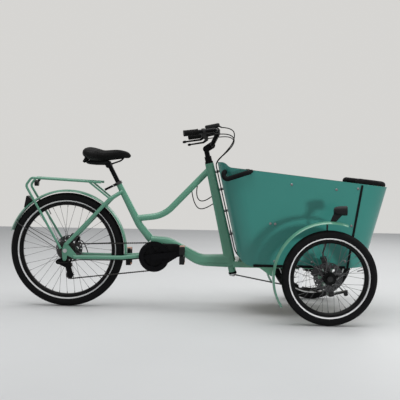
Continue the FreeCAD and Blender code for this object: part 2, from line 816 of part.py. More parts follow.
def chain_stays():
    solids = []
    for side in (RIGHT, LEFT):
        stay = tube(chain_stay_path(side), BEAM_BEND, CHAIN_STAY_D)
        solids.append(stay.fuse(dropout(side)))
    bridge_x = REAR_FENDER_R + BRIDGE_D
    z = REAR_R - CHAIN_STAY_DROP
    bridge = rod(at(bridge_x, -CHAIN_STAY_WAIST_Y, z), at(bridge_x, CHAIN_STAY_WAIST_Y, z), BRIDGE_D / 2)
    return fused(solids + [bridge])


def seat_stay_points(side):
    top = seat_tube_point(0.22)
    return [top + ALONG_Y * (side * SEAT_TUBE_D * 0.3),
            at(SEAT_STAY_KNEE_X, side * SEAT_STAY_KNEE_Y, SEAT_STAY_KNEE_Z),
            at(SEAT_STAY_FOOT_X, side * (DROPOUT_Y + DROPOUT_T / 2), REAR_R + SEAT_STAY_FOOT_H)]


def seat_stays():
    stays = [tube(seat_stay_points(side), SEAT_STAY_BEND, STAY_D) for side in (RIGHT, LEFT)]
    knee = seat_stay_points(LEFT)[1]
    bridge = rod(at(SEAT_STAY_KNEE_X, -knee.y, knee.z), knee, BRIDGE_D / 2)
    return fused(stays + [bridge]).cut(seat_tube_body()).cut(group([dropout(RIGHT), dropout(LEFT)]))


def seat_tube_path():
    top = at(SEAT_TUBE_TOP_X, 0, SEAT_TUBE_TOP_Z)
    knee = at(SEAT_TUBE_KNEE_X, 0, SEAT_TUBE_KNEE_Z)
    foot = at(BEAM_START_X, 0, BEAM_START_Z)
    return [top, knee, foot]


def seat_tube_point(share):
    """Point on the seat tube's upper leg, a share of the way down to the knee."""
    top, knee = seat_tube_path()[:2]
    return top + (knee - top) * share


def seat_axis():
    """Unit vector up the seat tube."""
    top, knee = seat_tube_path()[:2]
    return (top - knee).normalize()


def seat_collar():
    """Split collar with two ears round the tube's mouth."""
    top = seat_tube_path()[0]
    axis = seat_axis()
    back = axis.cross(ALONG_Y).normalize()
    if back.x > 0:
        back = back * -1
    low = top - axis * COLLAR_H
    body = rod(low, top, COLLAR_D / 2)
    ear_mid = low + axis * (COLLAR_H / 2) + back * (COLLAR_D / 2 + COLLAR_EAR / 2 - RIM_WALL)
    ear = Part.Face(rounded_rectangle(ear_mid - ALONG_Y * COLLAR_EAR, back, axis, COLLAR_EAR,
                                      COLLAR_H - RIM_WALL,
                                      RIM_WALL)).extrude(ALONG_Y * (COLLAR_EAR * 2))
    slot = Part.Face(rounded_rectangle(ear_mid - ALONG_Y * (COLLAR_SLOT / 2), back, axis, COLLAR_EAR * 2,
                                       COLLAR_H * 2, RIM_WALL)).extrude(ALONG_Y * COLLAR_SLOT)
    pin_hole = rod(ear_mid - ALONG_Y * (COLLAR_EAR * 2), ear_mid + ALONG_Y * (COLLAR_EAR * 2),
                   QR_PIN_D / 2 + RUN)
    return body.fuse(ear).cut(group([slot, pin_hole])), ear_mid, back, axis


def seat_tube_body():
    """Bent tube that widens to its foot, before it is bored."""
    points = seat_tube_path()
    path = bent_path(points, SEAT_TUBE_BEND)
    start = circle_wire(points[0], points[1] - points[0], SEAT_TUBE_D / 2)
    end = circle_wire(points[2], points[2] - points[1], SEAT_TUBE_FOOT_D / 2)
    return swept(path, [start, end])


def seat_tube():
    """Seat tube with its split collar, bored for the post."""
    top = seat_tube_path()[0]
    axis = seat_axis()
    bore = rod(top + axis * OVERRUN, top - axis * POST_BORE_DEPTH, POST_D / 2 + RUN)
    body = fused([seat_tube_body(), seat_collar()[0]]).cut(bore).cut(main_beam_body())
    return group([body, quick_release_pin()])


def cam_point():
    """Middle of the quick-release cam, outside the right ear."""
    ear_mid = seat_collar()[1]
    return ear_mid - ALONG_Y * (COLLAR_EAR + QR_CAM_R + SEAT)


def quick_release_pin():
    """Skewer through the collar ears: nut on the left, cross barrel for the cam on the right."""
    ear_mid = seat_collar()[1]
    axis = seat_collar()[3]
    cam = cam_point()
    left = ear_mid + ALONG_Y * COLLAR_EAR
    skewer = rod(left, cam, QR_PIN_D / 2)
    nut = rod(left, left + ALONG_Y * QR_CAM_R, QR_PIN_D)
    barrel = rod(cam - axis * QR_CAM_T, cam + axis * QR_CAM_T, QR_PIN_D / 2)
    return fused([skewer, nut, barrel])


def quick_release():
    """Two cam cheeks on the skewer's barrel, joined behind by the lever blade."""
    back, axis = seat_collar()[2:]
    cam = cam_point()
    gap = QR_PIN_D / 2 + SEAT
    circles = [(0, 0, QR_CAM_R), (QR_LEVER_L, QR_CAM_R * 0.3, QR_CAM_R * 0.4)]
    wire = hull_wire(circles, lambda u, v: cam + back * u - ALONG_Y * v - axis * QR_CAM_T)
    blade = Part.Face(wire).extrude(axis * (QR_CAM_T * 2))
    room = rod(cam - axis * gap, cam + axis * gap, QR_CAM_R * 1.5)
    bore = rod(cam - axis * (QR_CAM_T * 2), cam + axis * (QR_CAM_T * 2), QR_PIN_D / 2 + RUN)
    return blade.cut(group([room, bore]))


def motor_mount():
    """Shell over the back and top of the motor, where the frame tubes meet."""
    half = MOUNT_W / 2
    outer = rod(BOTTOM_BRACKET - ALONG_Y * half, BOTTOM_BRACKET + ALONG_Y * half, MOTOR_R + MOUNT_WALL)
    inner = side_plate([(BB_X, BB_Z, MOTOR_R + SEAT), (MOTOR_NOSE_X, MOTOR_NOSE_Z, MOTOR_NOSE_R + SEAT)],
                       -MOUNT_W, MOUNT_W)
    cut_reach = MOTOR_R * 2
    below = Part.makeBox(cut_reach * 2, MOUNT_W * 2, cut_reach,
                         at(BB_X - cut_reach, -MOUNT_W, BB_Z - cut_reach - MOUNT_WALL))
    return outer.cut(inner).cut(below)


def beam_path():
    end = steer_point_at(BEAM_LEVEL_Z)
    return [at(BEAM_START_X, 0, BEAM_START_Z), at(BEAM_KNEE_X, 0, BEAM_KNEE_Z),
            at(BEAM_DIP_X, 0, BEAM_LEVEL_Z), end]


def main_beam_body():
    """Deep S-shaped beam over the motor and down to the column."""
    points = beam_path()
    heading = (points[1] - points[0]).normalize()
    up = ALONG_Y.cross(heading) * -1
    outline = rounded_rectangle(points[0], ALONG_Y, up, BEAM_W, BEAM_H * 0.6, BEAM_ROUND)
    end_heading = (points[3] - points[2]).normalize()
    end_up = ALONG_Y.cross(end_heading) * -1
    end_outline = rounded_rectangle(points[3], ALONG_Y, end_up, BEAM_W, BEAM_H, BEAM_ROUND)
    beam = swept(bent_path(points, BEAM_BEND), [outline, end_outline])
    return fused([beam, motor_mount()])


def main_beam():
    """Beam with a shallow groove along each side and a port cover on the right."""
    body = main_beam_body()
    points = beam_path()
    low = FreeCAD.Vector(0, 0, BEAM_H * 0.17)
    grooves = []
    for side in (RIGHT, LEFT):
        start = points[2] - low + ALONG_Y * (side * BEAM_W / 2)
        end = points[3] - low + ALONG_Y * (side * BEAM_W / 2)
        grooves.append(rod(start, end, BEAM_GROOVE))
    inside_motor = side_plate([(BB_X, BB_Z, MOTOR_R + SEAT),
                               (MOTOR_NOSE_X, MOTOR_NOSE_Z, MOTOR_NOSE_R + SEAT)],
                              -MOUNT_W, MOUNT_W)
    return body.cut(group(grooves)).cut(inside_motor).cut(column_body())


def top_tube_path():
    start = seat_tube_point(0.86)
    end = steer_point_at(TOP_TUBE_END_Z)
    return [start, at(TOP_TUBE_KNEE_X, 0, TOP_TUBE_KNEE_Z), end]


def top_tube():
    """Swooping tube from the seat tube up to the column."""
    body = tube(top_tube_path(), TOP_TUBE_BEND, TOP_TUBE_D)
    return body.cut(seat_tube_body()).cut(column_body())


def column_section(z, depth, width):
    return rounded_rectangle(steer_point_at(z), ACROSS, ALONG_Y, depth, width, COLUMN_ROUND)


def column_body():
    """Tapered flat-sided column with a round boss below, before it is bored."""
    body = Part.makeLoft([column_section(COLUMN_FOOT_Z, COLUMN_FOOT_DEPTH, COLUMN_FOOT_W),
                          column_section(COLUMN_TOP_Z, COLUMN_TOP_DEPTH, COLUMN_TOP_W)], True, True)
    foot = steer_point_at(COLUMN_FOOT_Z)
    boss = rod(foot + STEER_AXIS * BOSS_H, foot - STEER_AXIS * BOSS_H, BOSS_D / 2)
    return fused([body, boss])


def head_column():
    """Column bored from end to end for the steering shaft."""
    top, bottom = column_ends()
    return column_body().cut(rod(bottom - STEER_AXIS * BOSS_H, top + STEER_AXIS * BOSS_H,
                                 COLUMN_BORE_D / 2))


def column_ends():
    """Top and bottom of the column on the steering axis."""
    return steer_point_at(COLUMN_TOP_Z), steer_point_at(COLUMN_FOOT_Z) - STEER_AXIS * BOSS_H


def headset():
    """Two bearing cups that press into the column's ends."""
    top, bottom = column_ends()
    cups = []
    for start, way in ((top, 1), (bottom, -1)):
        axis = STEER_AXIS * way
        flange = rod(start, start + axis * CUP_H, CUP_D / 2)
        spigot = rod(start - axis * CUP_H, start, COLUMN_BORE_D / 2 - RUN)
        bore = rod(start - axis * (CUP_H * 2), start + axis * (CUP_H * 2), SHAFT_D / 2 + RUN)
        cups.append(flange.fuse(spigot).cut(bore))
    return group(cups)


def motor():
    """Drop-shaped mid motor with round covers and the spindle bore."""
    circles = [(BB_X, BB_Z, MOTOR_R), (MOTOR_NOSE_X, MOTOR_NOSE_Z, MOTOR_NOSE_R)]
    body = side_plate(circles, -MOTOR_RIGHT_Y, MOTOR_LEFT_Y)
    rims = [edge for edge in body.Edges if abs(edge.BoundBox.YLength) < RUN]
    body = body.makeFillet(MOTOR_ROUND, rims)
    cover = rod(BOTTOM_BRACKET - ALONG_Y * (MOTOR_RIGHT_Y + MOTOR_COVER_T),
                BOTTOM_BRACKET + ALONG_Y * (MOTOR_LEFT_Y + MOTOR_COVER_T), MOTOR_COVER_R)
    bore = rod(BOTTOM_BRACKET - ALONG_Y * DROPOUT_Y * 2, BOTTOM_BRACKET + ALONG_Y * DROPOUT_Y * 2,
               SPINDLE_D / 2 + RUN)
    return fused([body, cover]).cut(bore)


def rear_axle():
    """Through axle with a nut outside each dropout."""
    end = DROPOUT_Y + DROPOUT_T
    profile = [(0, -end - AXLE_NUT_T), (AXLE_NUT_R, -end - AXLE_NUT_T), (AXLE_NUT_R, -end),
               (REAR_AXLE_D / 2, -end),
               (REAR_AXLE_D / 2, end), (AXLE_NUT_R, end), (AXLE_NUT_R, end + AXLE_NUT_T),
               (0, end + AXLE_NUT_T)]
    return turned(profile, REAR_AXLE, ALONG_Y)


def caliper_block(centre, rotor_y, degrees):
    """Caliper body astride a brake disc, with its slot."""
    angle = math.radians(degrees)
    out = FreeCAD.Vector(math.cos(angle), 0, math.sin(angle))
    along = FreeCAD.Vector(-math.sin(angle), 0, math.cos(angle))
    middle = centre + out * CALIPER_R + ALONG_Y * (rotor_y - CALIPER_T / 2)
    outline = rounded_rectangle(middle, out, along, CALIPER_H, CALIPER_L, CALIPER_H / 4)
    body = Part.Face(outline).extrude(ALONG_Y * CALIPER_T)
    slot_at = centre + ALONG_Y * (rotor_y - CALIPER_SLOT / 2)
    slot = rod(slot_at, slot_at + ALONG_Y * CALIPER_SLOT, ROTOR_R + CALIPER_SLOT)
    return body.cut(slot)


def rear_caliper():
    """Caliper on a bracket plate from the left dropout."""
    body = caliper_block(REAR_AXLE, REAR_ROTOR_Y, 62)
    angle = math.radians(62)
    plate = side_plate([(SEAT_STAY_FOOT_X, REAR_R + SEAT_STAY_FOOT_H, STAY_D * 0.4),
                        (CALIPER_R * math.cos(angle), REAR_R + CALIPER_R * math.sin(angle),
                         CALIPER_H * 0.4)],
                       REAR_ROTOR_Y + CALIPER_T / 2, DROPOUT_Y)
    stay = tube(seat_stay_points(LEFT), SEAT_STAY_BEND, STAY_D + SEAT)
    return fused([body, plate]).cut(stay)


# Fenders and lights
def fender_band(centre, radius, start, end):
    """Crowned strip round a wheel from one angle to another."""
    half = FENDER_W / 2
    outer = Part.Arc(FreeCAD.Vector(radius - FENDER_CROWN, -half, 0), FreeCAD.Vector(radius, 0, 0),
                     FreeCAD.Vector(radius - FENDER_CROWN, half, 0)).toShape()
    deep = radius - FENDER_T
    inner = Part.Arc(FreeCAD.Vector(deep - FENDER_CROWN, -half, 0), FreeCAD.Vector(deep, 0, 0),
                     FreeCAD.Vector(deep - FENDER_CROWN, half, 0)).toShape()
    ends = [Part.LineSegment(FreeCAD.Vector(radius - FENDER_CROWN, s * half, 0),
                             FreeCAD.Vector(deep - FENDER_CROWN, s * half, 0)).toShape() for s in (-1, 1)]
    face = Part.Face(Part.Wire(Part.__sortEdges__([outer, inner] + ends)))
    band = face.revolve(FreeCAD.Vector(0, 0, 0), FreeCAD.Vector(0, -1, 0), end - start)
    band.rotate(FreeCAD.Vector(0, 0, 0), FreeCAD.Vector(0, -1, 0), start)
    band.translate(centre)
    return band


def rear_fender():
    """Fender strip with two wire stays down to the dropouts."""
    band = fender_band(REAR_AXLE, REAR_FENDER_R, REAR_FENDER_START, REAR_FENDER_END)
    angle = math.radians(FENDER_WIRE_ANGLE)
    wire_r = REAR_FENDER_R - FENDER_CROWN - FENDER_T
    pieces = [band]
    for side in (RIGHT, LEFT):
        top = REAR_AXLE + FreeCAD.Vector(wire_r * math.cos(angle),
                                         side * (FENDER_W / 2 + FENDER_WIRE_D / 2 + SEAT),
                                         wire_r * math.sin(angle))
        foot_angle = math.radians(FENDER_WIRE_ANGLE + 50)
        foot = REAR_AXLE + FreeCAD.Vector(DROPOUT_R * math.cos(foot_angle),
                                          side * (DROPOUT_Y + DROPOUT_T + FENDER_WIRE_D / 2 + SEAT),
                                          DROPOUT_R * math.sin(foot_angle))
        pieces.append(rod(top, foot, FENDER_WIRE_D / 2))
    return group(pieces)


def front_fender(side):
    """Fender strip on a bent stay from the knuckle's top lug."""
    centre = front_centre(side)
    band = fender_band(centre, FRONT_FENDER_R, FRONT_FENDER_START, FRONT_FENDER_END)
    stay_y = side * (KING_Y + FENDER_STAY_Y)
    under = FRONT_R + FRONT_FENDER_R - FENDER_T - FENDER_STAY_D / 2 - SEAT
    foot = king_point(side, KING_TUBE_L / 2 + LUG_T + SEAT + RUN, 0, -UPRIGHT_Y)
    crown_x = WHEELBASE - FENDER_STAY_D
    points = [foot, foot + STEER_AXIS * (FENDER_STAY_D * 2),
              at(crown_x, stay_y, FRONT_R + FRONT_SEAT_D / 2),
              at(crown_x, stay_y, under), at(crown_x, side * TRACK / 2, under)]
    return group([band, tube(points, FENDER_STAY_D, FENDER_STAY_D)])


def headlight(side):
    """Turned lamp on a bent plate that stands on the fender."""
    y = side * TRACK / 2
    lamp_z = FRONT_R + FRONT_FENDER_R + LAMP_RISE
    lamp_x = WHEELBASE + LAMP_X
    half = LAMP_L / 2
    profile = [(0, -half), (LAMP_R * 0.55, -half), (LAMP_R * 0.82, -half * 0.6), (LAMP_R * 0.94, 0),
               (LAMP_R, half * 0.55),
               (LAMP_R, half), (LAMP_R - LAMP_RIM, half), (LAMP_R - LAMP_RIM, half - LAMP_RIM),
               (0, half - LAMP_RIM * 0.4)]
    lamp = turned(profile, at(lamp_x, y, lamp_z), FreeCAD.Vector(1, 0, 0))
    foot_x = WHEELBASE + LAMP_X - LAMP_L * 0.55
    plate = side_plate([(foot_x, FRONT_R + FRONT_FENDER_R, LAMP_R * 0.5),
                        (lamp_x + half * 0.2, lamp_z - LAMP_R * 0.6, LAMP_R * 0.3),
                        (lamp_x - half * 0.6, lamp_z - LAMP_R * 0.3, LAMP_R * 0.4)],
                       y - LAMP_PLATE_T / 2, y + LAMP_PLATE_T / 2)
    wheel_room = rod(front_centre(side) - ALONG_Y * FENDER_W, front_centre(side) + ALONG_Y * FENDER_W,
                     FRONT_FENDER_R + RUN)
    return fused([lamp, plate]).cut(wheel_room)


def rear_lights():
    """Wedge light on the fender and a round lamp under the rack."""
    angle = math.radians(TAIL_ANGLE)
    out = FreeCAD.Vector(math.cos(angle), 0, math.sin(angle))
    down = FreeCAD.Vector(-math.sin(angle), 0, math.cos(angle))
    base = REAR_AXLE + out * (REAR_FENDER_R + RUN) - ALONG_Y * (TAIL_W / 2)
    circles = [(-TAIL_H / 2, -TAIL_ROUND, TAIL_ROUND), (TAIL_H / 2, -TAIL_ROUND, TAIL_ROUND),
               (TAIL_H / 2 - TAIL_ROUND, TAIL_DEPTH - TAIL_ROUND, TAIL_ROUND)]
    wire = hull_wire(circles, lambda u, v: base + down * -u + out * v)
    wedge = Part.Face(wire).extrude(ALONG_Y * TAIL_W)
    inside = rod(REAR_AXLE - ALONG_Y * FENDER_W, REAR_AXLE + ALONG_Y * FENDER_W, REAR_FENDER_R + RUN)
    lamp_at = at(RACK_REAR_X + DISC_LAMP_R, 0, RACK_REAR_Z - DISC_LAMP_R - RACK_D)
    lamp = rod(lamp_at - FreeCAD.Vector(DISC_LAMP_T / 2, 0, 0),
               lamp_at + FreeCAD.Vector(DISC_LAMP_T / 2, 0, 0), DISC_LAMP_R)
    bar = rack_bar_point(RACK_BAR_SHARES[2])
    tab = side_plate([(lamp_at.x + ORIGIN_X, lamp_at.z, DISC_LAMP_R * 0.4),
                      (bar.x + ORIGIN_X, bar.z, DISC_LAMP_R * 0.4)],
                     -LAMP_PLATE_T / 2, LAMP_PLATE_T / 2)
    tab = tab.cut(rack_bar(RACK_BAR_SHARES[2], RACK_BAR_D / 2 + RUN))
    return group([wedge.cut(inside), fused([lamp, tab])])


# Rack
def rack_points(side):
    y = side * RACK_Y
    outside = side * (DROPOUT_Y + DROPOUT_T + RACK_D / 2 + SEAT)
    return [at(RACK_FRONT_X, y, RACK_FRONT_Z), at(RACK_REAR_X, y, RACK_REAR_Z),
            at(RACK_HEEL_X, y, RACK_HEEL_Z),
            at(RACK_FOOT_X, outside, REAR_R + RACK_FOOT_H)]


def rack_bar_point(share):
    front = at(RACK_FRONT_X, 0, RACK_FRONT_Z)
    rear = at(RACK_REAR_X, 0, RACK_REAR_Z)
    return front + (rear - front) * share


def rack_bar(share, radius):
    middle = rack_bar_point(share)
    return rod(middle - ALONG_Y * RACK_Y, middle + ALONG_Y * RACK_Y, radius)


def rear_rack():
    """Two bent side tubes, cross bars, and short stays to the seat stays."""
    pieces = []
    for side in (RIGHT, LEFT):
        pieces.append(tube(rack_points(side), RACK_BEND, RACK_D))
        share = (RACK_FRONT_X - RACK_STAY_X) / (RACK_FRONT_X - RACK_REAR_X)
        high = rack_bar_point(share) + ALONG_Y * (side * RACK_Y)
        knee = seat_stay_points(side)[1]
        pieces.append(rod(high, knee, RACK_D * 0.4))
    for share in RACK_BAR_SHARES:
        pieces.append(rack_bar(share, RACK_BAR_D / 2))
    stays = [tube(seat_stay_points(side), SEAT_STAY_BEND, STAY_D) for side in (RIGHT, LEFT)]
    return fused(pieces).cut(group(stays))


# Cargo box
def box_rear_x(z):
    """Outer face of the rear wall, parallel to the column's front face."""
    face = steer_point_at(z).x + ORIGIN_X + COLUMN_FOOT_DEPTH / 2 / math.cos(LEAN)
    return face + BOX_GAP


def box_front_x(z):
    return BOX_FRONT_TOP_X - (BOX_FRONT_TOP_Z - z) * math.tan(math.radians(BOX_FRONT_LEAN))


def seam_x(z):
    return BOX_SEAM_TOP_X - (BOX_FRONT_TOP_Z - z) * math.tan(math.radians(BOX_SEAM_LEAN))


def box_top_z(x):
    """Sloping top edge from the shoulder to the front."""
    share = (x - BOX_SHOULDER_X) / (BOX_FRONT_TOP_X - BOX_SHOULDER_X)
    return BOX_SHOULDER_Z + (BOX_FRONT_TOP_Z - BOX_SHOULDER_Z) * share


def below_top():
    """Everything under the box's top edge: high rear lip, S-shaped step, then a straight slope."""
    rear = box_rear_x(BOX_REAR_TOP_Z)
    far = BOX_FRONT_TOP_X + BOX_W
    lip = rear + BOX_LIP
    mid_x = (lip + BOX_SHOULDER_X) / 2
    mid_z = (BOX_REAR_TOP_Z + BOX_SHOULDER_Z) / 2
    drop = BOX_REAR_TOP_Z - mid_z

    def point(x, z):
        return at(x, -BOX_W, z)

    crest = point((lip + mid_x) / 2, BOX_REAR_TOP_Z - drop * 0.25)
    trough = point((mid_x + BOX_SHOULDER_X) / 2, BOX_SHOULDER_Z + drop * 0.25)
    edges = [Part.LineSegment(point(rear - BOX_W, BOX_REAR_TOP_Z), point(lip, BOX_REAR_TOP_Z)).toShape(),
             Part.Arc(point(lip, BOX_REAR_TOP_Z), crest, point(mid_x, mid_z)).toShape(),
             Part.Arc(point(mid_x, mid_z), trough, point(BOX_SHOULDER_X, BOX_SHOULDER_Z)).toShape(),
             Part.LineSegment(point(BOX_SHOULDER_X, BOX_SHOULDER_Z), point(far, box_top_z(far))).toShape(),
             Part.LineSegment(point(far, box_top_z(far)), point(far, -BOX_W)).toShape(),
             Part.LineSegment(point(far, -BOX_W), point(rear - BOX_W, -BOX_W)).toShape(),
             Part.LineSegment(point(rear - BOX_W, -BOX_W), point(rear - BOX_W, BOX_REAR_TOP_Z)).toShape()]
    return Part.Face(Part.Wire(edges)).extrude(ALONG_Y * (BOX_W * 2))


def heel_centre():
    """Middle of the round heel where the rear wall turns into the floor."""
    z = BOX_BOTTOM_Z + BOX_HEEL_R
    return box_rear_x(z) + BOX_HEEL_R / math.cos(LEAN), z


def side_outline():
    """Side view of a flat side panel: heel arc, bottom, seam, then up past the top edge."""
    high = BOX_REAR_TOP_Z + BOX_W
    heel_x, heel_z = heel_centre()
    rear_turn = math.radians(180 + STEER_LEAN)
    mid_turn = (rear_turn + math.radians(270)) / 2
    arc = [at(heel_x + BOX_HEEL_R * math.cos(turn), 0, heel_z + BOX_HEEL_R * math.sin(turn))
           for turn in (rear_turn, mid_turn, math.radians(270))]
    corner = at(seam_x(BOX_BOTTOM_Z), 0, BOX_BOTTOM_Z)
    top_front = at(seam_x(high), 0, high)
    top_rear = at(box_rear_x(high), 0, high)
    return Part.Wire([Part.Arc(*arc).toShape(), Part.LineSegment(arc[2], corner).toShape(),
                      Part.LineSegment(corner, top_front).toShape(),
                      Part.LineSegment(top_front, top_rear).toShape(),
                      Part.LineSegment(top_rear, arc[0]).toShape()])


def rear_wall_volume(inset):
    """Leaning prism inside the rear wall's U-shaped outline, open forward."""
    half = BOX_W / 2 - inset
    corner = BOX_REAR_CORNER_R - inset
    z = BOX_BOTTOM_Z
    back = box_rear_x(z) + inset
    far = back + BOX_FRONT_TOP_X
    lean = math.sqrt(0.5)
    mids = [at(back + corner * (1 - lean), s * (half - corner * (1 - lean)), z) for s in (-1, 1)]
    points = [at(far, -half, z), at(back + corner, -half, z), at(back, corner - half, z),
              at(back, half - corner, z),
              at(back + corner, half, z), at(far, half, z)]
    edges = [Part.LineSegment(points[0], points[1]).toShape(),
             Part.Arc(points[1], mids[0], points[2]).toShape(),
             Part.LineSegment(points[2], points[3]).toShape(),
             Part.Arc(points[3], mids[1], points[4]).toShape(),
             Part.LineSegment(points[4], points[5]).toShape(),
             Part.LineSegment(points[5], points[0]).toShape()]
    rise = (BOX_REAR_TOP_Z + BOX_W - z) / math.cos(LEAN)
    return Part.Face(Part.Wire(edges)).extrude(STEER_AXIS * rise)


def front_wall_volume(inset):
    """Leaning prism inside the front wall's U-shaped outline, open to the rear."""
    half = BOX_W / 2 - inset
    corner = BOX_FRONT_CORNER_R - inset
    z = BOX_BOTTOM_Z
    front = box_front_x(z) - inset
    near = front - BOX_FRONT_TOP_X
    lean = math.sqrt(0.5)
    mids = [at(front - corner * (1 - lean), s * (half - corner * (1 - lean)), z) for s in (-1, 1)]
    points = [at(near, -half, z), at(front - corner, -half, z), at(front, corner - half, z),
              at(front, half - corner, z),
              at(front - corner, half, z), at(near, half, z)]
    edges = [Part.LineSegment(points[0], points[1]).toShape(),
             Part.Arc(points[1], mids[0], points[2]).toShape(),
             Part.LineSegment(points[2], points[3]).toShape(),
             Part.Arc(points[3], mids[1], points[4]).toShape(),
             Part.LineSegment(points[4], points[5]).toShape(),
             Part.LineSegment(points[5], points[0]).toShape()]
    rise = BOX_REAR_TOP_Z + BOX_W - z
    way = FreeCAD.Vector(math.tan(math.radians(BOX_FRONT_LEAN)), 0, 1)
    return Part.Face(Part.Wire(edges)).extrude(way * rise)


def side_prism(grow=0.0):
    """The side panels' outline as a block across the whole box."""
    width = BOX_W + grow * 2
    face = Part.Face(side_outline())
    block = face.extrude(ALONG_Y * width)
    block.translate(ALONG_Y * (-width / 2))
    return block


def rear_split(offset):
    """Block behind the line where the rear corners run out into the flat sides."""
    z = BOX_BOTTOM_Z
    line_x = box_rear_x(z) + BOX_REAR_CORNER_R + offset
    depth = BOX_FRONT_TOP_X
    face = Part.Face(Part.makePolygon([at(line_x - depth, -BOX_W, z), at(line_x, -BOX_W, z),
                                       at(line_x, BOX_W, z),
                                       at(line_x - depth, BOX_W, z), at(line_x - depth, -BOX_W, z)]))
    rise = (BOX_REAR_TOP_Z + BOX_W - z) / math.cos(LEAN)
    return face.extrude(STEER_AXIS * rise)


def box_rear():
    """Bent rear panel with round corners."""
    wall = rear_wall_volume(0.0).cut(rear_wall_volume(WALL))
    return wall.common(rear_split(0.0)).common(side_prism(BOX_W)).common(below_top())


def box_side(side):
    """Flat side panel between the rear panel and the front seam."""
    y = side * BOX_W / 2
    inner = y - side * WALL
    face = Part.Face(side_outline())
    plate = face.extrude(ALONG_Y * WALL)
    plate.translate(ALONG_Y * min(y, inner))
    return plate.cut(rear_split(0.0)).common(below_top())


def behind_seam():
    """Block behind the two front seams."""
    low, high = -BOX_W, BOX_REAR_TOP_Z + BOX_W
    far = -BOX_FRONT_TOP_X
    face = Part.Face(Part.makePolygon([at(seam_x(low), -BOX_W, low), at(seam_x(high), -BOX_W, high),
                                       at(far, -BOX_W, high), at(far, -BOX_W, low),
                                       at(seam_x(low), -BOX_W, low)]))
    return face.extrude(ALONG_Y * (BOX_W * 2))


def box_front():
    """Bent front panel from seam to seam."""
    wall = front_wall_volume(0.0).cut(front_wall_volume(WALL))
    return wall.cut(behind_seam()).common(below_top())


def box_floor():
    """Floor sheet turned up at the heel to meet the rear panel."""
    heel_x, heel_z = heel_centre()
    half = BOX_W / 2 - WALL - SEAT
    inner_r = BOX_HEEL_R - WALL - SEAT
    start = math.radians(180 + STEER_LEAN + 4)
    end = math.radians(270)
    mid = (start + end) / 2

    def point(radius, turn):
        return at(heel_x + radius * math.cos(turn), -half, heel_z + radius * math.sin(turn))

    inner = inner_r - WALL
    front = seam_x(BOX_BOTTOM_Z)
    z_top = heel_z - inner
    z_low = heel_z - inner_r
    wire = Part.Wire([Part.Arc(point(inner_r, start), point(inner_r, mid), point(inner_r, end)).toShape(),
                      Part.LineSegment(point(inner_r, end), at(front, -half, z_low)).toShape(),
                      Part.LineSegment(at(front, -half, z_low), at(front, -half, z_top)).toShape(),
                      Part.LineSegment(at(front, -half, z_top), point(inner, end)).toShape(),
                      Part.Arc(point(inner, end), point(inner, mid), point(inner, start)).toShape(),
                      Part.LineSegment(point(inner, start), point(inner_r, start)).toShape()])
    sheet = Part.Face(wire).extrude(ALONG_Y * (half * 2))
    nose_block = Part.makeBox(BOX_FRONT_TOP_X - front, half * 2, WALL, at(front, -half, z_low))
    nose = nose_block.common(front_wall_volume(WALL + SEAT))
    return fused([sheet, nose]).common(rear_wall_volume(WALL + SEAT))


def box_edging():
    """Black strips: one over each front seam, one under each side panel."""
    pieces = []
    for side in (RIGHT, LEFT):
        y = side * BOX_W / 2
        out = y + side * EDGING_T
        low_z = BOX_BOTTOM_Z
        high_z = box_top_z(seam_x(BOX_FRONT_TOP_Z)) - EDGING_W / 2
        half = EDGING_W / 2
        circles = [(seam_x(low_z + half), low_z + half, half), (seam_x(high_z - half), high_z - half, half)]
        pieces.append(side_plate(circles, y, out))
        heel_x = heel_centre()[0]
        strip = Part.makeBox(seam_x(low_z) - heel_x, WALL + EDGING_T, EDGING_T,
                             at(heel_x, min(out, y - side * WALL), low_z - EDGING_T))
        skirt = Part.makeBox(seam_x(low_z) - heel_x - EDGING_W, EDGING_T, EDGING_W,
                             at(heel_x, min(y, out), low_z))
        pieces.append(strip.fuse(skirt))
    return group(pieces)


BOLT_SHARES = ((0.42, 0.9), (0.79, 0.9), (0.25, 0.46), (0.29, 0.46), (0.29, 0.06), (0.6, 0.06))


def bolt_head(base, out):
    """Low domed head on a flat face."""
    profile = [(0, 0), (BOLT_R, 0), (BOLT_R * 0.9, BOLT_H * 0.5), (BOLT_R * 0.55, BOLT_H * 0.9),
               (0, BOLT_H)]
    return turned(profile, base, out)


def column_front(z):
    """Point on the middle of the column's front face."""
    share = (z - COLUMN_FOOT_Z) / (COLUMN_TOP_Z - COLUMN_FOOT_Z)
    depth = COLUMN_FOOT_DEPTH + (COLUMN_TOP_DEPTH - COLUMN_FOOT_DEPTH) * share
    return steer_point_at(z) + ACROSS * (depth / 2)


def box_bolts():
    """Panel bolts, seam bolts, and the spacers that hold the box to the column."""
    pieces = []
    length = BOX_SEAM_TOP_X - box_rear_x(BOX_BOTTOM_Z)
    height = BOX_SHOULDER_Z - BOX_BOTTOM_Z
    for side in (RIGHT, LEFT):
        out = ALONG_Y * side
        face_y = side * BOX_W / 2
        for across_share, up_share in BOLT_SHARES:
            x = box_rear_x(BOX_BOTTOM_Z) + length * across_share
            top = box_top_z(x)
            pieces.append(bolt_head(at(x, face_y, BOX_BOTTOM_Z + (top - BOX_BOTTOM_Z) * up_share), out))
        for up_share in (0.08, 0.48, 0.9):
            z = BOX_BOTTOM_Z + height * up_share * 0.9
            x = seam_x(z) - EDGING_W - BOLT_R
            pieces.append(bolt_head(at(x, face_y, z), out))
    for share in SPACER_SHARES:
        z = BOX_BOTTOM_Z + BOX_HEEL_R + (BOX_SHOULDER_Z - BOX_BOTTOM_Z - BOX_HEEL_R) * share
        start = column_front(z)
        reach = (at(box_rear_x(z), 0, z) - start).dot(ACROSS)
        pieces.append(rod(start, start + ACROSS * reach, SPACER_D / 2))
    return group(pieces)


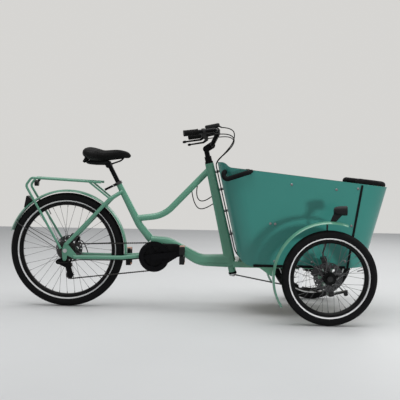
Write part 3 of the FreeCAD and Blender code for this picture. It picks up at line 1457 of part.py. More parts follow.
def bench_board():
    """Seat board across the box, shaped to the rear corners."""
    slab = Part.makeBox(BENCH_FRONT_X - box_rear_x(BENCH_Z), BOX_W, BENCH_T,
                        at(box_rear_x(BENCH_Z), -BOX_W / 2, BENCH_Z))
    return slab.common(rear_wall_volume(WALL + SEAT))


def bench_cushion():
    """Cushion with drawn-in sides and a crowned top."""
    back = box_rear_x(BENCH_Z) + WALL + CUSHION_EDGE
    middle_x = (back + BENCH_FRONT_X) / 2
    length = BENCH_FRONT_X - back - CUSHION_EDGE
    width = BOX_W - WALL * 2 - BOX_REAR_CORNER_R
    level_shares = ((0.0, 1.6), (0.3, 0.2), (0.7, 0.0), (1.0, 1.8))
    wires = []
    for height_share, edge_share in level_shares:
        z = BENCH_Z + BENCH_T + SEAT + CUSHION_T * height_share
        inset = CUSHION_EDGE * edge_share
        wires.append(rounded_rectangle(at(middle_x, 0, z), FreeCAD.Vector(1, 0, 0), ALONG_Y,
                                       length - inset * 2,
                                       width - inset * 2, CUSHION_EDGE * 3))
    return Part.makeLoft(wires, True, False)


def front_roll():
    """Padded roll inside the front rim, standing a little over the edge."""
    inset = WALL + SEAT + math.sqrt((ROLL_D / 2) ** 2 - ROLL_RISE ** 2)
    half = BOX_W / 2 - inset
    reach = BOX_FRONT_TOP_X - inset

    def point(x, y):
        return at(x, y, box_top_z(x) + ROLL_RISE)

    points = [point(ROLL_START_X, -half), point(reach, -half), point(reach, half),
              point(ROLL_START_X, half)]
    return tube(points, BOX_FRONT_CORNER_R - inset, ROLL_D, 0.95)


def grab_handle(side):
    """Padded bent handle outside the rear corner of the box."""
    r = HANDLE_D / 2
    face = BOX_W / 2
    rear_reach = box_rear_x(HANDLE_REAR_Z) + BOX_REAR_CORNER_R - HANDLE_REAR_X
    rear_y = face - BOX_REAR_CORNER_R + math.sqrt(BOX_REAR_CORNER_R ** 2 - rear_reach ** 2)
    stand = HANDLE_STAND + r
    points = [at(HANDLE_REAR_X + stand * 0.5, side * (rear_y - WALL), HANDLE_REAR_Z),
              at(HANDLE_REAR_X, side * (rear_y + stand), HANDLE_REAR_Z - r),
              at(HANDLE_REAR_X, side * (rear_y + stand + r), HANDLE_LOW_Z),
              at(HANDLE_FRONT_X - stand, side * (face + stand), HANDLE_FRONT_Z),
              at(HANDLE_FRONT_X, side * (face - WALL), HANDLE_FRONT_Z + r)]
    return tube(points, HANDLE_BEND, HANDLE_D)


def grab_handles():
    """Both handles, trimmed where they meet the box."""
    return group([grab_handle(RIGHT), grab_handle(LEFT)]).cut(rear_wall_volume(0.0))


def battery():
    """Rounded pack that hangs from the bench board."""
    block = Part.makeBox(BATTERY_L, BATTERY_W, BATTERY_H,
                         at(BATTERY_X, -BATTERY_W / 2, BENCH_Z - BATTERY_H))
    uprights = [edge for edge in block.Edges if edge.BoundBox.ZLength > BATTERY_H / 2]
    return block.makeFillet(BATTERY_ROUND, uprights)


# Front axle and steering
def axle_point(y, along):
    return at(WHEELBASE, y, FRONT_R) + STEER_AXIS * along


def king_tubes():
    half = STEER_AXIS * (KING_TUBE_L / 2)
    return [ring(king_point(side) - half, king_point(side) + half, KING_TUBE_D / 2, KING_PIN_D / 2 + RUN)
            for side in (RIGHT, LEFT)]


def front_axle():
    """Dropped axle: a lower tube from kingpin to kingpin and bent upper tubes to their tops."""
    low = -AXLE_REACH
    high = AXLE_REACH
    pieces = [tube([axle_point(-KING_Y, low), axle_point(KING_Y, low)], AXLE_BEND, AXLE_TUBE_D)]
    for side in (RIGHT, LEFT):
        points = [axle_point(side * KING_Y, high), axle_point(side * AXLE_POST_Y, high),
                  axle_point(side * AXLE_POST_Y, low)]
        pieces.append(tube(points, AXLE_BEND, AXLE_TUBE_D * 0.8))
    bores = []
    for side in (RIGHT, LEFT):
        half = STEER_AXIS * KING_TUBE_L
        bores.append(rod(king_point(side) - half, king_point(side) + half, KING_PIN_D / 2 + RUN))
    return fused(pieces + king_tubes()).cut(group(bores))


def floor_bearers():
    """Two bearers under the floor, their cross plate at the column, axle saddles and a hanger bracket."""
    z_top = BOX_BOTTOM_Z + WALL
    z = z_top - BEARER_H
    pieces = []
    axle_mid = axle_point(0, -AXLE_REACH)
    for side in (RIGHT, LEFT):
        y = side * BEARER_Y
        pieces.append(Part.makeBox(BEARER_END_X - BEARER_START_X, BEARER_W, BEARER_H,
                                   at(BEARER_START_X, y - BEARER_W / 2, z)))
        circles = [(axle_mid.x + ORIGIN_X, axle_mid.z, AXLE_TUBE_D * 0.8),
                   (axle_mid.x + ORIGIN_X + BEARER_W, z + BEARER_H / 3, BEARER_H / 4),
                   (axle_mid.x + ORIGIN_X - BEARER_W, z + BEARER_H / 3, BEARER_H / 4)]
        pieces.append(side_plate(circles, y - SADDLE_T / 2, y + SADDLE_T / 2))
        hang = [(HANGER_X + HANGER_L * 0.35, z - HANGER_DROP + BEARER_H / 4, BEARER_H / 4),
                (HANGER_X + HANGER_L / 2, z + BEARER_H / 3, BEARER_H / 4),
                (HANGER_X - HANGER_L / 2, z + BEARER_H / 3, BEARER_H / 4)]
        pieces.append(side_plate(hang, y + side * BEARER_W / 2, y + side * (BEARER_W / 2 + HANGER_T)))
    pieces.append(Part.makeBox(BEARER_W, BEARER_Y * 2, BEARER_H, at(BEARER_START_X, -BEARER_Y, z)))
    pieces.append(Part.makeBox(BEARER_W, BEARER_Y * 2, BEARER_H, at(BEARER_END_X - BEARER_W, -BEARER_Y, z)))
    cutters = [column_body(),
               tube([axle_point(-KING_Y, -AXLE_REACH), axle_point(KING_Y, -AXLE_REACH)], AXLE_BEND,
                    AXLE_TUBE_D)]
    body = fused(pieces).cut(group(cutters)).cut(main_beam_body())
    return body.cut(floor_clear())


def floor_clear():
    """Room taken by the floor sheet and all above it."""
    z_low = BOX_BOTTOM_Z + WALL + SEAT
    heel_x = heel_centre()[0]
    return Part.makeBox(BOX_FRONT_TOP_X, BOX_W, BOX_W, at(heel_x - BOX_HEEL_R, -BOX_W / 2, z_low))


def drop_arm_level():
    """Height along the steering axis of the drop arm's top face, from the steering point."""
    bottom = column_ends()[1] - STEER_AXIS * (CUP_H + SEAT)
    return (bottom - STEER_POINT).dot(STEER_AXIS)


def link_pin(base, low, high):
    """Pin with a flat head below."""
    pin = rod(base + STEER_AXIS * low, base + STEER_AXIS * high, LINK_PIN_D / 2)
    head = rod(base + STEER_AXIS * (low - PIN_HEAD_T), base + STEER_AXIS * low, PIN_HEAD_R)
    return pin.fuse(head)


def drop_pin():
    """Point of the drop arm's pin on the arm's under face."""
    return STEER_POINT + STEER_AXIS * (drop_arm_level() - ARM_T) + ALONG_Y * DROP_ARM_L


def steering_shaft():
    """Shaft through the column with the drop arm and its link pin."""
    level = drop_arm_level()
    top = steer_point_at(STEM_HEAD_Z)
    shaft = rod(STEER_POINT + STEER_AXIS * (level - ARM_T), top, SHAFT_D / 2)
    arm = lean_plate(STEER_POINT, [(0, 0, ARM_ROOT_R), (0, DROP_ARM_L, ARM_EYE_R)], level - ARM_T, level)
    pin = link_pin(drop_pin(), -LINK_EYE_T - SEAT * 2, 0)
    return fused([shaft, arm, pin])


def knuckle_arm_level():
    """Under face of the knuckle's lower lug, along the kingpin."""
    return -KING_TUBE_L / 2 - SEAT - LUG_T


def drag_pin():
    """Point of the right knuckle's drag pin on the arm's under face."""
    return king_point(RIGHT, knuckle_arm_level(), 0, DROP_ARM_L)


def tie_pin(side):
    """Point of a knuckle's tie-rod pin on the arm's under face."""
    return king_point(side, knuckle_arm_level(), TIE_ARM_L, 0)


def eye_link(start, end):
    """Bar with an eye at each end, on pins that stand along the steering lean."""
    eyes = []
    bores = []
    for point in (start, end):
        low = point - STEER_AXIS * (SEAT + LINK_EYE_T)
        eyes.append(rod(low, low + STEER_AXIS * LINK_EYE_T, LINK_EYE_R))
        bores.append(rod(low - STEER_AXIS * LINK_EYE_T, low + STEER_AXIS * (LINK_EYE_T * 2),
                         LINK_PIN_D / 2 + RUN))
    mid = STEER_AXIS * (SEAT + LINK_EYE_T / 2)
    bar = rod(start - mid, end - mid, LINK_EYE_T * 0.24)
    return fused(eyes + [bar]).cut(group(bores))


def drag_link():
    return eye_link(drop_pin(), drag_pin())


def tie_rod():
    return eye_link(tie_pin(RIGHT), tie_pin(LEFT))


def knuckle(side):
    """Forked knuckle: kingpin, two lugs, upright, stub axle, steering arms, and the brake caliper."""
    half = KING_TUBE_L / 2 + SEAT
    out = side
    pin = rod(king_point(side, -half - LUG_T), king_point(side, half + LUG_T), KING_PIN_D / 2)
    origin = king_point(side)
    lugs = [lean_plate(origin, [(0, 0, LUG_R), (0, out * UPRIGHT_Y, UPRIGHT_W / 2)], low, low + LUG_T)
            for low in (-half - LUG_T, half)]
    across = rounded_rectangle(origin + ALONG_Y * (out * UPRIGHT_Y) - STEER_AXIS * (half + LUG_T / 2),
                               ACROSS, ALONG_Y,
                               UPRIGHT_W, UPRIGHT_T, UPRIGHT_T / 4)
    upright = Part.Face(across).extrude(STEER_AXIS * (half * 2 + LUG_T))
    stub_end = KING_INSET + FRONT_FLANGE_Y + HUB_END * 2 + SEAT
    stub = rod(origin + ALONG_Y * (out * UPRIGHT_Y), origin + ALONG_Y * (out * stub_end), STUB_D / 2)
    nut = rod(origin + ALONG_Y * (out * stub_end), origin + ALONG_Y * (out * (stub_end + STUB_NUT_T)),
              STUB_NUT_R)
    low = -half - LUG_T
    arms = [lean_plate(origin, [(0, 0, LUG_R), (TIE_ARM_L, 0, ARM_EYE_R)], low, low + ARM_T),
            link_pin(tie_pin(side), -LINK_EYE_T - SEAT * 2, 0)]
    if side == RIGHT:
        arms.append(lean_plate(origin, [(0, 0, LUG_R), (0, DROP_ARM_L, ARM_EYE_R)], low, low + ARM_T))
        arms.append(link_pin(drag_pin(), -LINK_EYE_T - SEAT * 2, 0))
    angle = math.radians(CALIPER_ANGLE)
    wheel_mid = front_centre(side)
    block = caliper_block(wheel_mid, -side * FRONT_ROTOR_Y, CALIPER_ANGLE)
    y_in = side * (KING_Y + UPRIGHT_Y - UPRIGHT_T / 2)
    y_out = side * (TRACK / 2 - FRONT_ROTOR_Y - CALIPER_T / 2)
    bracket = side_plate([(WHEELBASE, FRONT_R, UPRIGHT_W / 2),
                          (WHEELBASE + CALIPER_R * math.cos(angle), FRONT_R + CALIPER_R * math.sin(angle),
                           CALIPER_H * 0.45)],
                         y_in, y_out)
    return fused([pin, upright, stub, nut, bracket, block] + lugs + arms)


# Stem, handlebar and controls
def stem():
    """Upright post with a forward head that clamps the bar."""
    start = column_ends()[0] + STEER_AXIS * (CUP_H + SEAT)
    head = steer_point_at(STEM_HEAD_Z)
    post = rod(start, head, STEM_D / 2)
    collar = rod(start, start + STEER_AXIS * STEM_D, STEM_D * 0.68)
    half = STEM_W / 2
    arm = side_plate([(head.x + ORIGIN_X, head.z, STEM_HEAD_R), (BAR_X, BAR_Z, BAR_CLAMP_R)], -half, half)
    bar_hole = rod(at(BAR_X, -STEM_W, BAR_Z), at(BAR_X, STEM_W, BAR_Z), BAR_D / 2 + RUN)
    shaft_hole = rod(start - STEER_AXIS * STEM_D, head, SHAFT_D / 2 + RUN)
    return fused([post, collar, arm]).cut(group([bar_hole, shaft_hole]))


def bar_points(side):
    return [at(BAR_X, 0, BAR_Z), at(BAR_X, side * BAR_CLAMP_Y, BAR_Z),
            at(BAR_FRONT_X, side * BAR_RISE_Y, BAR_RISE_Z),
            at(BAR_TURN_X, side * BAR_TURN_Y, BAR_TURN_Z),
            at(GRIP_START_X, side * GRIP_START_Y, GRIP_START_Z),
            at(GRIP_END_X, side * GRIP_END_Y, GRIP_END_Z)]


def handlebar():
    """Risen, swept-back bar."""
    right = bar_points(RIGHT)
    left = bar_points(LEFT)
    return tube(list(reversed(right)) + left[1:], BAR_BEND, BAR_D)


def grip_line(side):
    start, end = bar_points(side)[-2:]
    way = (end - start).normalize()
    return start, end, way


def grip(side):
    """Ribbed rubber sleeve over the end of the bar."""
    start, end, way = grip_line(side)
    length = (end - start).Length
    r = GRIP_D / 2
    bore = BAR_D / 2 + RUN
    begin = PERCH_BACK + PERCH_T
    step = (length - begin) / GRIP_RIBS
    profile = [(bore, begin), (r + GRIP_RIB, begin)]
    for index in range(1, GRIP_RIBS):
        mid = begin + step * index
        profile += [(r, mid - step * 0.2), (r - GRIP_RIB, mid), (r, mid + step * 0.2)]
    profile += [(r, length), (bore, length)]
    return turned(profile, start, way)


def lever_frame(side):
    """Pivot point of a brake lever and its axes: along the grip, up from it, and across it."""
    start = grip_line(side)[0]
    way = grip_line(side)[2]
    across = ALONG_Z.cross(way).normalize()
    up = way.cross(across).normalize()
    return start + way * (PERCH_BACK * 0.6) - up * LEVER_DROP, way, up, across


def lever_plate(circles, side, half):
    """Plate in the lever's plane, its outline round circles (along, up, radius) from the pivot."""
    pivot, way, up, across = lever_frame(side)
    wire = hull_wire(circles, lambda u, v: pivot + way * u + up * v - across * half)
    return Part.Face(wire).extrude(across * (half * 2))


def brake_lever(side):
    """Lever blade that swings up to the grip about its pin."""
    pivot = lever_frame(side)[0]
    across = lever_frame(side)[3]
    half = LEVER_T / 2
    lug = lever_plate([(0, 0, LEVER_LUG_R), (LEVER_KNEE, -LEVER_FALL, LEVER_BLADE_R)], side, half)
    blade = lever_plate([(LEVER_KNEE, -LEVER_FALL, LEVER_BLADE_R),
                         (LEVER_REACH, -LEVER_FALL * 1.2, LEVER_BLADE_R * 0.8)], side, half)
    end = lever_plate([(LEVER_REACH, -LEVER_FALL * 1.2, LEVER_BLADE_R * 1.3),
                       (LEVER_REACH + LEVER_BLADE_R, -LEVER_FALL * 1.25, LEVER_BLADE_R * 1.3)],
                   side, half)
    hole = rod(pivot - across * LEVER_T, pivot + across * LEVER_T, LEVER_PIN_D / 2 + RUN)
    return fused([lug, blade, end]).cut(hole)


def handlebar_room():
    """The bar's own space with a running clearance."""
    right = bar_points(RIGHT)
    return tube(list(reversed(right)) + bar_points(LEFT)[1:], BAR_BEND, BAR_D + RUN * 2)


def perch(side):
    """Bar clamp that carries the lever's pin between two cheeks."""
    start = grip_line(side)[0]
    pivot, way = lever_frame(side)[:2]
    across = lever_frame(side)[3]
    sleeve = ring(start + way * (PERCH_BACK * 0.35), start + way * PERCH_BACK, PERCH_R, BAR_D / 2 + RUN)
    half = LEVER_T / 2 + SEAT
    cheek = half + RIM_WALL * 2
    cheeks = lever_plate([(0, 0, LEVER_LUG_R),
                          (PERCH_BACK * 0.5, LEVER_DROP - PERCH_R * 0.4, PERCH_R * 0.5),
                       (-PERCH_BACK * 0.1, LEVER_DROP - PERCH_R * 0.4, PERCH_R * 0.5)], side, cheek)
    slot = lever_plate([(-LEVER_LUG_R, -LEVER_LUG_R, LEVER_LUG_R),
                        (LEVER_REACH, -LEVER_LUG_R * 2, LEVER_LUG_R),
                     (LEVER_REACH, LEVER_LUG_R + SEAT, RIM_WALL),
                     (-LEVER_LUG_R, LEVER_LUG_R + SEAT, RIM_WALL)], side, half)
    pin = rod(pivot - across * cheek, pivot + across * cheek, LEVER_PIN_D / 2)
    bar_room = handlebar_room()
    return fused([sleeve, cheeks]).cut(group([slot, bar_room])).fuse(pin).removeSplitter()


def display():
    """Rounded display block on the right riser of the bar."""
    middle = at(BAR_FRONT_X - DISPLAY_L * 0.4, -(BAR_RISE_Y + BAR_TURN_Y) / 2,
                BAR_RISE_Z + BAR_D / 2 + DISPLAY_T * 0.6)
    tilt = math.radians(DISPLAY_TILT)
    across = FreeCAD.Vector(math.cos(tilt), 0, math.sin(tilt))
    up = FreeCAD.Vector(-math.sin(tilt), 0, math.cos(tilt))
    outline = rounded_rectangle(middle - up * (DISPLAY_T / 2), across, ALONG_Y, DISPLAY_L, DISPLAY_W,
                                DISPLAY_ROUND * 2)
    body = Part.Face(outline).extrude(up * DISPLAY_T)
    rims = [edge for edge in body.Edges if abs((edge.CenterOfMass - middle).dot(up)) > DISPLAY_T * 0.45]
    body = body.makeFillet(DISPLAY_ROUND, rims)
    high, low = bar_points(RIGHT)[2], bar_points(RIGHT)[3]
    clamp_at = (high + low) * 0.5
    way = (low - high).normalize()
    clamp = rod(clamp_at - way * PERCH_R, clamp_at + way * PERCH_R, PERCH_R)
    bar = rod(high - way * PERCH_R, low + way * PERCH_R, BAR_D / 2 + RUN)
    return fused([body, clamp]).cut(bar)


def bar_controls():
    return group([perch(RIGHT), perch(LEFT), display()])


# Chain drive
def pitch_radius(teeth):
    return teeth * CHAIN_PITCH / (2 * math.pi)


def toothed_disc(teeth, centre, y, phase):
    """Sprocket whose gaps are round seats for the chain rollers; phase turns a gap off the +X line."""
    radius = pitch_radius(teeth)
    tip_r = radius + TOOTH_RISE
    seat_r = ROLLER_D / 2 + TOOTH_ROOM
    spread = math.acos((tip_r ** 2 + radius ** 2 - seat_r ** 2) / (2 * tip_r * radius))
    step = 2 * math.pi / teeth

    def point(r, angle):
        return FreeCAD.Vector(centre.x + r * math.cos(angle), y - TOOTH_T / 2,
                              centre.z + r * math.sin(angle))

    edges = []
    for index in range(teeth):
        angle = phase + index * step
        left = point(tip_r, angle - spread)
        right = point(tip_r, angle + spread)
        edges.append(Part.Arc(left, point(radius - seat_r, angle), right).toShape())
        edges.append(Part.Arc(right, point(tip_r, angle + step / 2),
                              point(tip_r, angle + step - spread)).toShape())
    return Part.Face(Part.Wire(edges)).extrude(ALONG_Y * TOOTH_T)


def tangent_normals(c1, r1, turn1, c2, r2, turn2):
    """Angle of the contact normal on each circle for a belt line from the first to the second.

    turn is -1 for a clockwise wheel and +1 for a counter-clockwise one, seen from the drive side."""
    dx, dz = c2[0] - c1[0], c2[1] - c1[1]
    span = math.hypot(dx, dz)
    heading = math.atan2(dz, dx)
    s1, s2 = r1 * turn1, r2 * turn2
    swing = math.asin((s2 - s1) / span)
    line = heading - swing
    return line - turn1 * math.pi / 2, line - turn2 * math.pi / 2


def chain_wheels(cage_angle):
    """Wheels in the order that the chain meets them: (centre, radius, turn)."""
    guide = (GUIDE_X, GUIDE_Z)
    tension = (GUIDE_X + CAGE_L * math.cos(cage_angle), GUIDE_Z + CAGE_L * math.sin(cage_angle))
    pulley = pitch_radius(PULLEY_TEETH)
    return [((0.0, REAR_R), pitch_radius(ENGAGED_COG), -1), ((BB_X, BB_Z), pitch_radius(RING_TEETH), -1),
            (tension, pulley, -1), (guide, pulley, 1)]


def chain_runs(wheels):
    """Arcs and straight lines of the chain loop as pairs of length and point function."""
    count = len(wheels)
    normals = []
    for i in range(count):
        c1, r1, t1 = wheels[i]
        c2, r2, t2 = wheels[(i + 1) % count]
        normals.append(tangent_normals(c1, r1, t1, c2, r2, t2))
    runs = []
    for i in range(count):
        centre, radius, turn = wheels[i]
        arrive = normals[i - 1][1]
        leave = normals[i][0]
        sweep = ((leave - arrive) * turn) % (2 * math.pi)

        def on_arc(s, centre=centre, radius=radius, arrive=arrive, turn=turn):
            angle = arrive + turn * s / radius
            return centre[0] + radius * math.cos(angle), centre[1] + radius * math.sin(angle)

        runs.append((sweep * radius, on_arc))
        start = on_arc(sweep * radius)
        c2, r2, t2 = wheels[(i + 1) % count]
        end = (c2[0] + r2 * math.cos(normals[i][1]), c2[1] + r2 * math.sin(normals[i][1]))
        span = math.hypot(end[0] - start[0], end[1] - start[1])

        def on_line(s, start=start, end=end, span=span):
            share = s / span
            return start[0] + (end[0] - start[0]) * share, start[1] + (end[1] - start[1]) * share

        runs.append((span, on_line))
    return runs


def loop_length(cage_angle):
    return sum(run[0] for run in chain_runs(chain_wheels(cage_angle)))


def chain_fit():
    """Cage angle at which the loop is a whole even number of links."""
    tight, slack = math.radians(-112), math.radians(-40)
    rest = math.radians(-72)
    links = 2 * round(loop_length(rest) / CHAIN_PITCH / 2)
    goal = links * CHAIN_PITCH
    low, high = tight, slack
    rising = loop_length(high) > loop_length(low)
    for attempt in range(60):
        middle = (low + high) / 2
        if (loop_length(middle) < goal) == rising:
            low = middle
        else:
            high = middle
    return middle, links


CAGE_ANGLE, LINKS = chain_fit()


def chain_pins():
    """Pin places round the loop, one pitch apart, from the cog's first contact."""
    runs = chain_runs(chain_wheels(CAGE_ANGLE))
    total = sum(length for length, place in runs)
    step = total / LINKS
    pins = []
    for index in range(LINKS):
        s = index * step
        for length, place in runs:
            if s <= length:
                break
            s -= length
        pins.append(place(s))
    return pins


PINS = chain_pins()


def wheel_phase(centre):
    """Angle of the chain roller nearest a wheel, so that a tooth gap lies under it."""
    nearest = min(PINS, key=lambda pin: math.hypot(pin[0] - centre[0], pin[1] - centre[1]))
    on_wheel = [pin for pin in PINS
                if abs(math.hypot(pin[0] - centre[0], pin[1] - centre[1])
                       - math.hypot(nearest[0] - centre[0], nearest[1] - centre[1])) < RUN]
    middle = on_wheel[len(on_wheel) // 2]
    return math.atan2(middle[1] - centre[1], middle[0] - centre[0])


def link_plate(y_start, thickness):
    """Waisted side plate of one pitch, centred on the origin along X."""
    half = CHAIN_PITCH / 2
    r = PLATE_R
    ends = []
    for sign in (1, -1):
        ends.append([FreeCAD.Vector(sign * (half + r * math.cos(a)), y_start, r * math.sin(a))
                     for a in (-math.pi / 2 - 0.2, 0, math.pi / 2 + 0.2)])
    right, left = ends
    top = FreeCAD.Vector(0, y_start, PLATE_WAIST)
    bottom = FreeCAD.Vector(0, y_start, -PLATE_WAIST)
    wire = Part.Wire([Part.Arc(*right).toShape(), Part.Arc(right[2], top, left[2]).toShape(),
                      Part.Arc(left[2], left[1], left[0]).toShape(),
                      Part.Arc(left[0], bottom, right[0]).toShape()])
    return Part.Face(wire).extrude(ALONG_Y * thickness)


def inner_link():
    """Two plates joined by rollers with bush holes."""
    half = LINK_GAP / 2
    ends = [FreeCAD.Vector(sign * CHAIN_PITCH / 2, 0, 0) for sign in (-1, 1)]
    plates = [link_plate(half, PLATE_T), link_plate(-half - PLATE_T, PLATE_T)]
    rollers = [rod(end - ALONG_Y * half, end + ALONG_Y * half, ROLLER_D / 2) for end in ends]
    reach = ALONG_Y * (half + PLATE_T + OVERRUN)
    holes = [rod(end - reach, end + reach, BUSH_D / 2) for end in ends]
    return fused(plates + rollers).cut(group(holes))


def outer_link():
    """Two plates joined by pins."""
    half = LINK_GAP / 2 + PLATE_T + PLATE_GAP
    ends = [FreeCAD.Vector(sign * CHAIN_PITCH / 2, 0, 0) for sign in (-1, 1)]
    plates = [link_plate(half, PLATE_T), link_plate(-half - PLATE_T, PLATE_T)]
    reach = ALONG_Y * (half + PLATE_T + PLATE_GAP)
    pins = [rod(end - reach, end + reach, PIN_D / 2) for end in ends]
    return fused(plates + pins)


def chain():
    """Roller chain: inner and outer links by turns round the loop."""
    kinds = (inner_link(), outer_link())
    links = []
    for index in range(LINKS):
        x1, z1 = PINS[index]
        x2, z2 = PINS[(index + 1) % LINKS]
        link = kinds[index % 2].copy()
        heading = math.degrees(math.atan2(z2 - z1, x2 - x1))
        link.Placement = FreeCAD.Placement(at((x1 + x2) / 2, -CHAIN_Y, (z1 + z2) / 2),
                                           FreeCAD.Rotation(FreeCAD.Vector(0, -1, 0), heading))
        links.append(link)
    return group(links)


def cassette():
    """Cog stack on its carrier, the chain's cog in the middle."""
    engaged = COGS.index(ENGAGED_COG)
    cogs = []
    for index, teeth in enumerate(COGS):
        y = -CHAIN_Y + (index - engaged) * COG_SPACING
        phase = wheel_phase((0.0, REAR_R)) if teeth == ENGAGED_COG else math.pi / teeth
        cogs.append(toothed_disc(teeth, REAR_AXLE, y, phase))
    start = -CHAIN_Y - engaged * COG_SPACING - TOOTH_T
    end = -CHAIN_Y + (len(COGS) - 1 - engaged) * COG_SPACING + TOOTH_T
    core = rod(REAR_AXLE + ALONG_Y * start, REAR_AXLE + ALONG_Y * end, COG_CORE_R)
    bore = rod(REAR_AXLE + ALONG_Y * (start - OVERRUN), REAR_AXLE + ALONG_Y * (end + OVERRUN),
               REAR_AXLE_D / 2 + RUN)
    windows = []
    for index in range(ROTOR_ARMS):
        angle = 2 * math.pi * index / ROTOR_ARMS
        big = pitch_radius(COGS[-1])
        spot = REAR_AXLE + FreeCAD.Vector(math.cos(angle), 0, math.sin(angle)) * (big * 0.62)
        windows.append(rod(spot - ALONG_Y * (CHAIN_Y - COG_SPACING * 2.5), spot, big * 0.16))
    return fused(cogs + [core]).cut(group([bore] + windows))


def cage_points():
    guide = (GUIDE_X, GUIDE_Z)
    tension = (GUIDE_X + CAGE_L * math.cos(CAGE_ANGLE), GUIDE_Z + CAGE_L * math.sin(CAGE_ANGLE))
    return guide, tension


def derailleur():
    """Hung body, sprung cage of two plates, and two toothed pulleys on their bolts."""
    guide, tension = cage_points()
    inner = -CHAIN_Y + CAGE_GAP
    outer = -CHAIN_Y - CAGE_GAP
    plates = [side_plate([(tension[0], tension[1], CAGE_R), (guide[0], guide[1], CAGE_R)], y, y + t)
              for y, t in ((inner, CAGE_PLATE_T), (outer, -CAGE_PLATE_T))]
    bolts = []
    pulleys = []
    for spot in (guide, tension):
        bolt_start = at(spot[0], inner + CAGE_PLATE_T, spot[1])
        bolts.append(rod(bolt_start, at(spot[0], outer - CAGE_PLATE_T, spot[1]), PULLEY_BOLT_R))
        disc = toothed_disc(PULLEY_TEETH, at(spot[0], 0, spot[1]), -CHAIN_Y, wheel_phase(spot))
        hole = rod(at(spot[0], 0, spot[1]) - ALONG_Y * CHAIN_Y * 2, at(spot[0], 0, spot[1]),
                   PULLEY_BOLT_R + RUN)
        pulleys.append(disc.cut(hole))
    back = outer - CAGE_PLATE_T
    top = (GUIDE_X - CAGE_R, REAR_R - HANGER_DROP_Z - DROPOUT_R)
    body = side_plate([(DERAILLEUR_BACK_X, DERAILLEUR_BACK_Z, DERAILLEUR_R),
                       (guide[0], guide[1], DERAILLEUR_R),
                       (top[0], top[1], DERAILLEUR_R * 0.8)], back, -DROPOUT_Y)
    barrel = rod(at(DERAILLEUR_BACK_X, -DROPOUT_Y, DERAILLEUR_BACK_Z),
                 at(DERAILLEUR_BACK_X, -DROPOUT_Y - DROPOUT_T * 2, DERAILLEUR_BACK_Z), DERAILLEUR_R)
    link = side_plate([(DERAILLEUR_BACK_X, DERAILLEUR_BACK_Z, DERAILLEUR_R * 0.8),
                       (top[0], top[1] - DROPOUT_R, DERAILLEUR_R * 0.5)],
                      -DROPOUT_Y - DROPOUT_T - SEAT, -DROPOUT_Y - DROPOUT_T * 2)
    frame = fused(plates + bolts + [body, barrel, link])
    return group([frame] + pulleys)


def ring_bolt_points():
    spots = []
    for index in range(RING_ARMS):
        angle = math.radians(CRANK_ANGLE + 36) + 2 * math.pi * index / RING_ARMS
        spots.append((BB_X + RING_BOLT_R * math.cos(angle), BB_Z + RING_BOLT_R * math.sin(angle)))
    return spots


def chainring():
    """Toothed ring with an outer guard, held apart by sleeves at the spider bolts."""
    disc = toothed_disc(RING_TEETH, BOTTOM_BRACKET, -CHAIN_Y, wheel_phase((BB_X, BB_Z)))
    hole = rod(BOTTOM_BRACKET - ALONG_Y * DROPOUT_Y, BOTTOM_BRACKET, RING_HOLE_R)
    guard_start = BOTTOM_BRACKET - ALONG_Y * GUARD_Y
    guard = ring(guard_start - ALONG_Y * GUARD_T, guard_start, GUARD_R, GUARD_HOLE_R)
    face = -CHAIN_Y - TOOTH_T / 2
    sleeves = [rod(at(x, face + TOOTH_T, z), at(x, -GUARD_Y - GUARD_T, z), RING_BOLT_D / 2) for x,
               z in ring_bolt_points()]
    ears = [rod(at(x, -CHAIN_Y - TOOTH_T / 2, z), at(x, -CHAIN_Y + TOOTH_T / 2, z), RING_BOLT_D) for x,
            z in ring_bolt_points()]
    lugs = [rod(at(x, -GUARD_Y - GUARD_T, z), at(x, -GUARD_Y, z), RING_BOLT_D) for x,
            z in ring_bolt_points()]
    return fused([disc.cut(hole), guard] + sleeves + ears + lugs)


def crank_way(side):
    angle = math.radians(CRANK_ANGLE)
    if side == LEFT:
        angle += math.pi
    return FreeCAD.Vector(math.cos(angle), 0, math.sin(angle))


def pedal_point(side):
    return BOTTOM_BRACKET + crank_way(side) * CRANK_L


def crankset():
    """Spindle, two arms, spider, and a pedal axle in each arm."""
    reach = CRANK_Y + CRANK_T
    pieces = [rod(BOTTOM_BRACKET - ALONG_Y * reach, BOTTOM_BRACKET + ALONG_Y * reach, SPINDLE_D / 2)]
    for side in (RIGHT, LEFT):
        tip = pedal_point(side)
        circles = [(BB_X, BB_Z, CRANK_ROOT_R), (tip.x + ORIGIN_X, tip.z, CRANK_TIP_R)]
        pieces.append(side_plate(circles, side * CRANK_Y, side * reach))
        start = tip + ALONG_Y * (side * reach)
        pieces.append(rod(start, start + ALONG_Y * (side * (PEDAL_W + SEAT * 2)), PEDAL_PIN_D / 2))
    spider_back = -CHAIN_Y - TOOTH_T / 2 - SPIDER_T - RUN
    for x, z in ring_bolt_points():
        pieces.append(side_plate([(BB_X, BB_Z, CRANK_ROOT_R), (x, z, RING_BOLT_D)], spider_back,
                                 spider_back + SPIDER_T))
    pieces.append(rod(BOTTOM_BRACKET - ALONG_Y * CRANK_Y, BOTTOM_BRACKET + ALONG_Y * spider_back,
                      CRANK_ROOT_R))
    holes = [rod(at(x, -DROPOUT_Y, z), at(x, 0, z), RING_BOLT_D / 2 + RUN) for x, z in ring_bolt_points()]
    return fused(pieces).cut(group(holes))


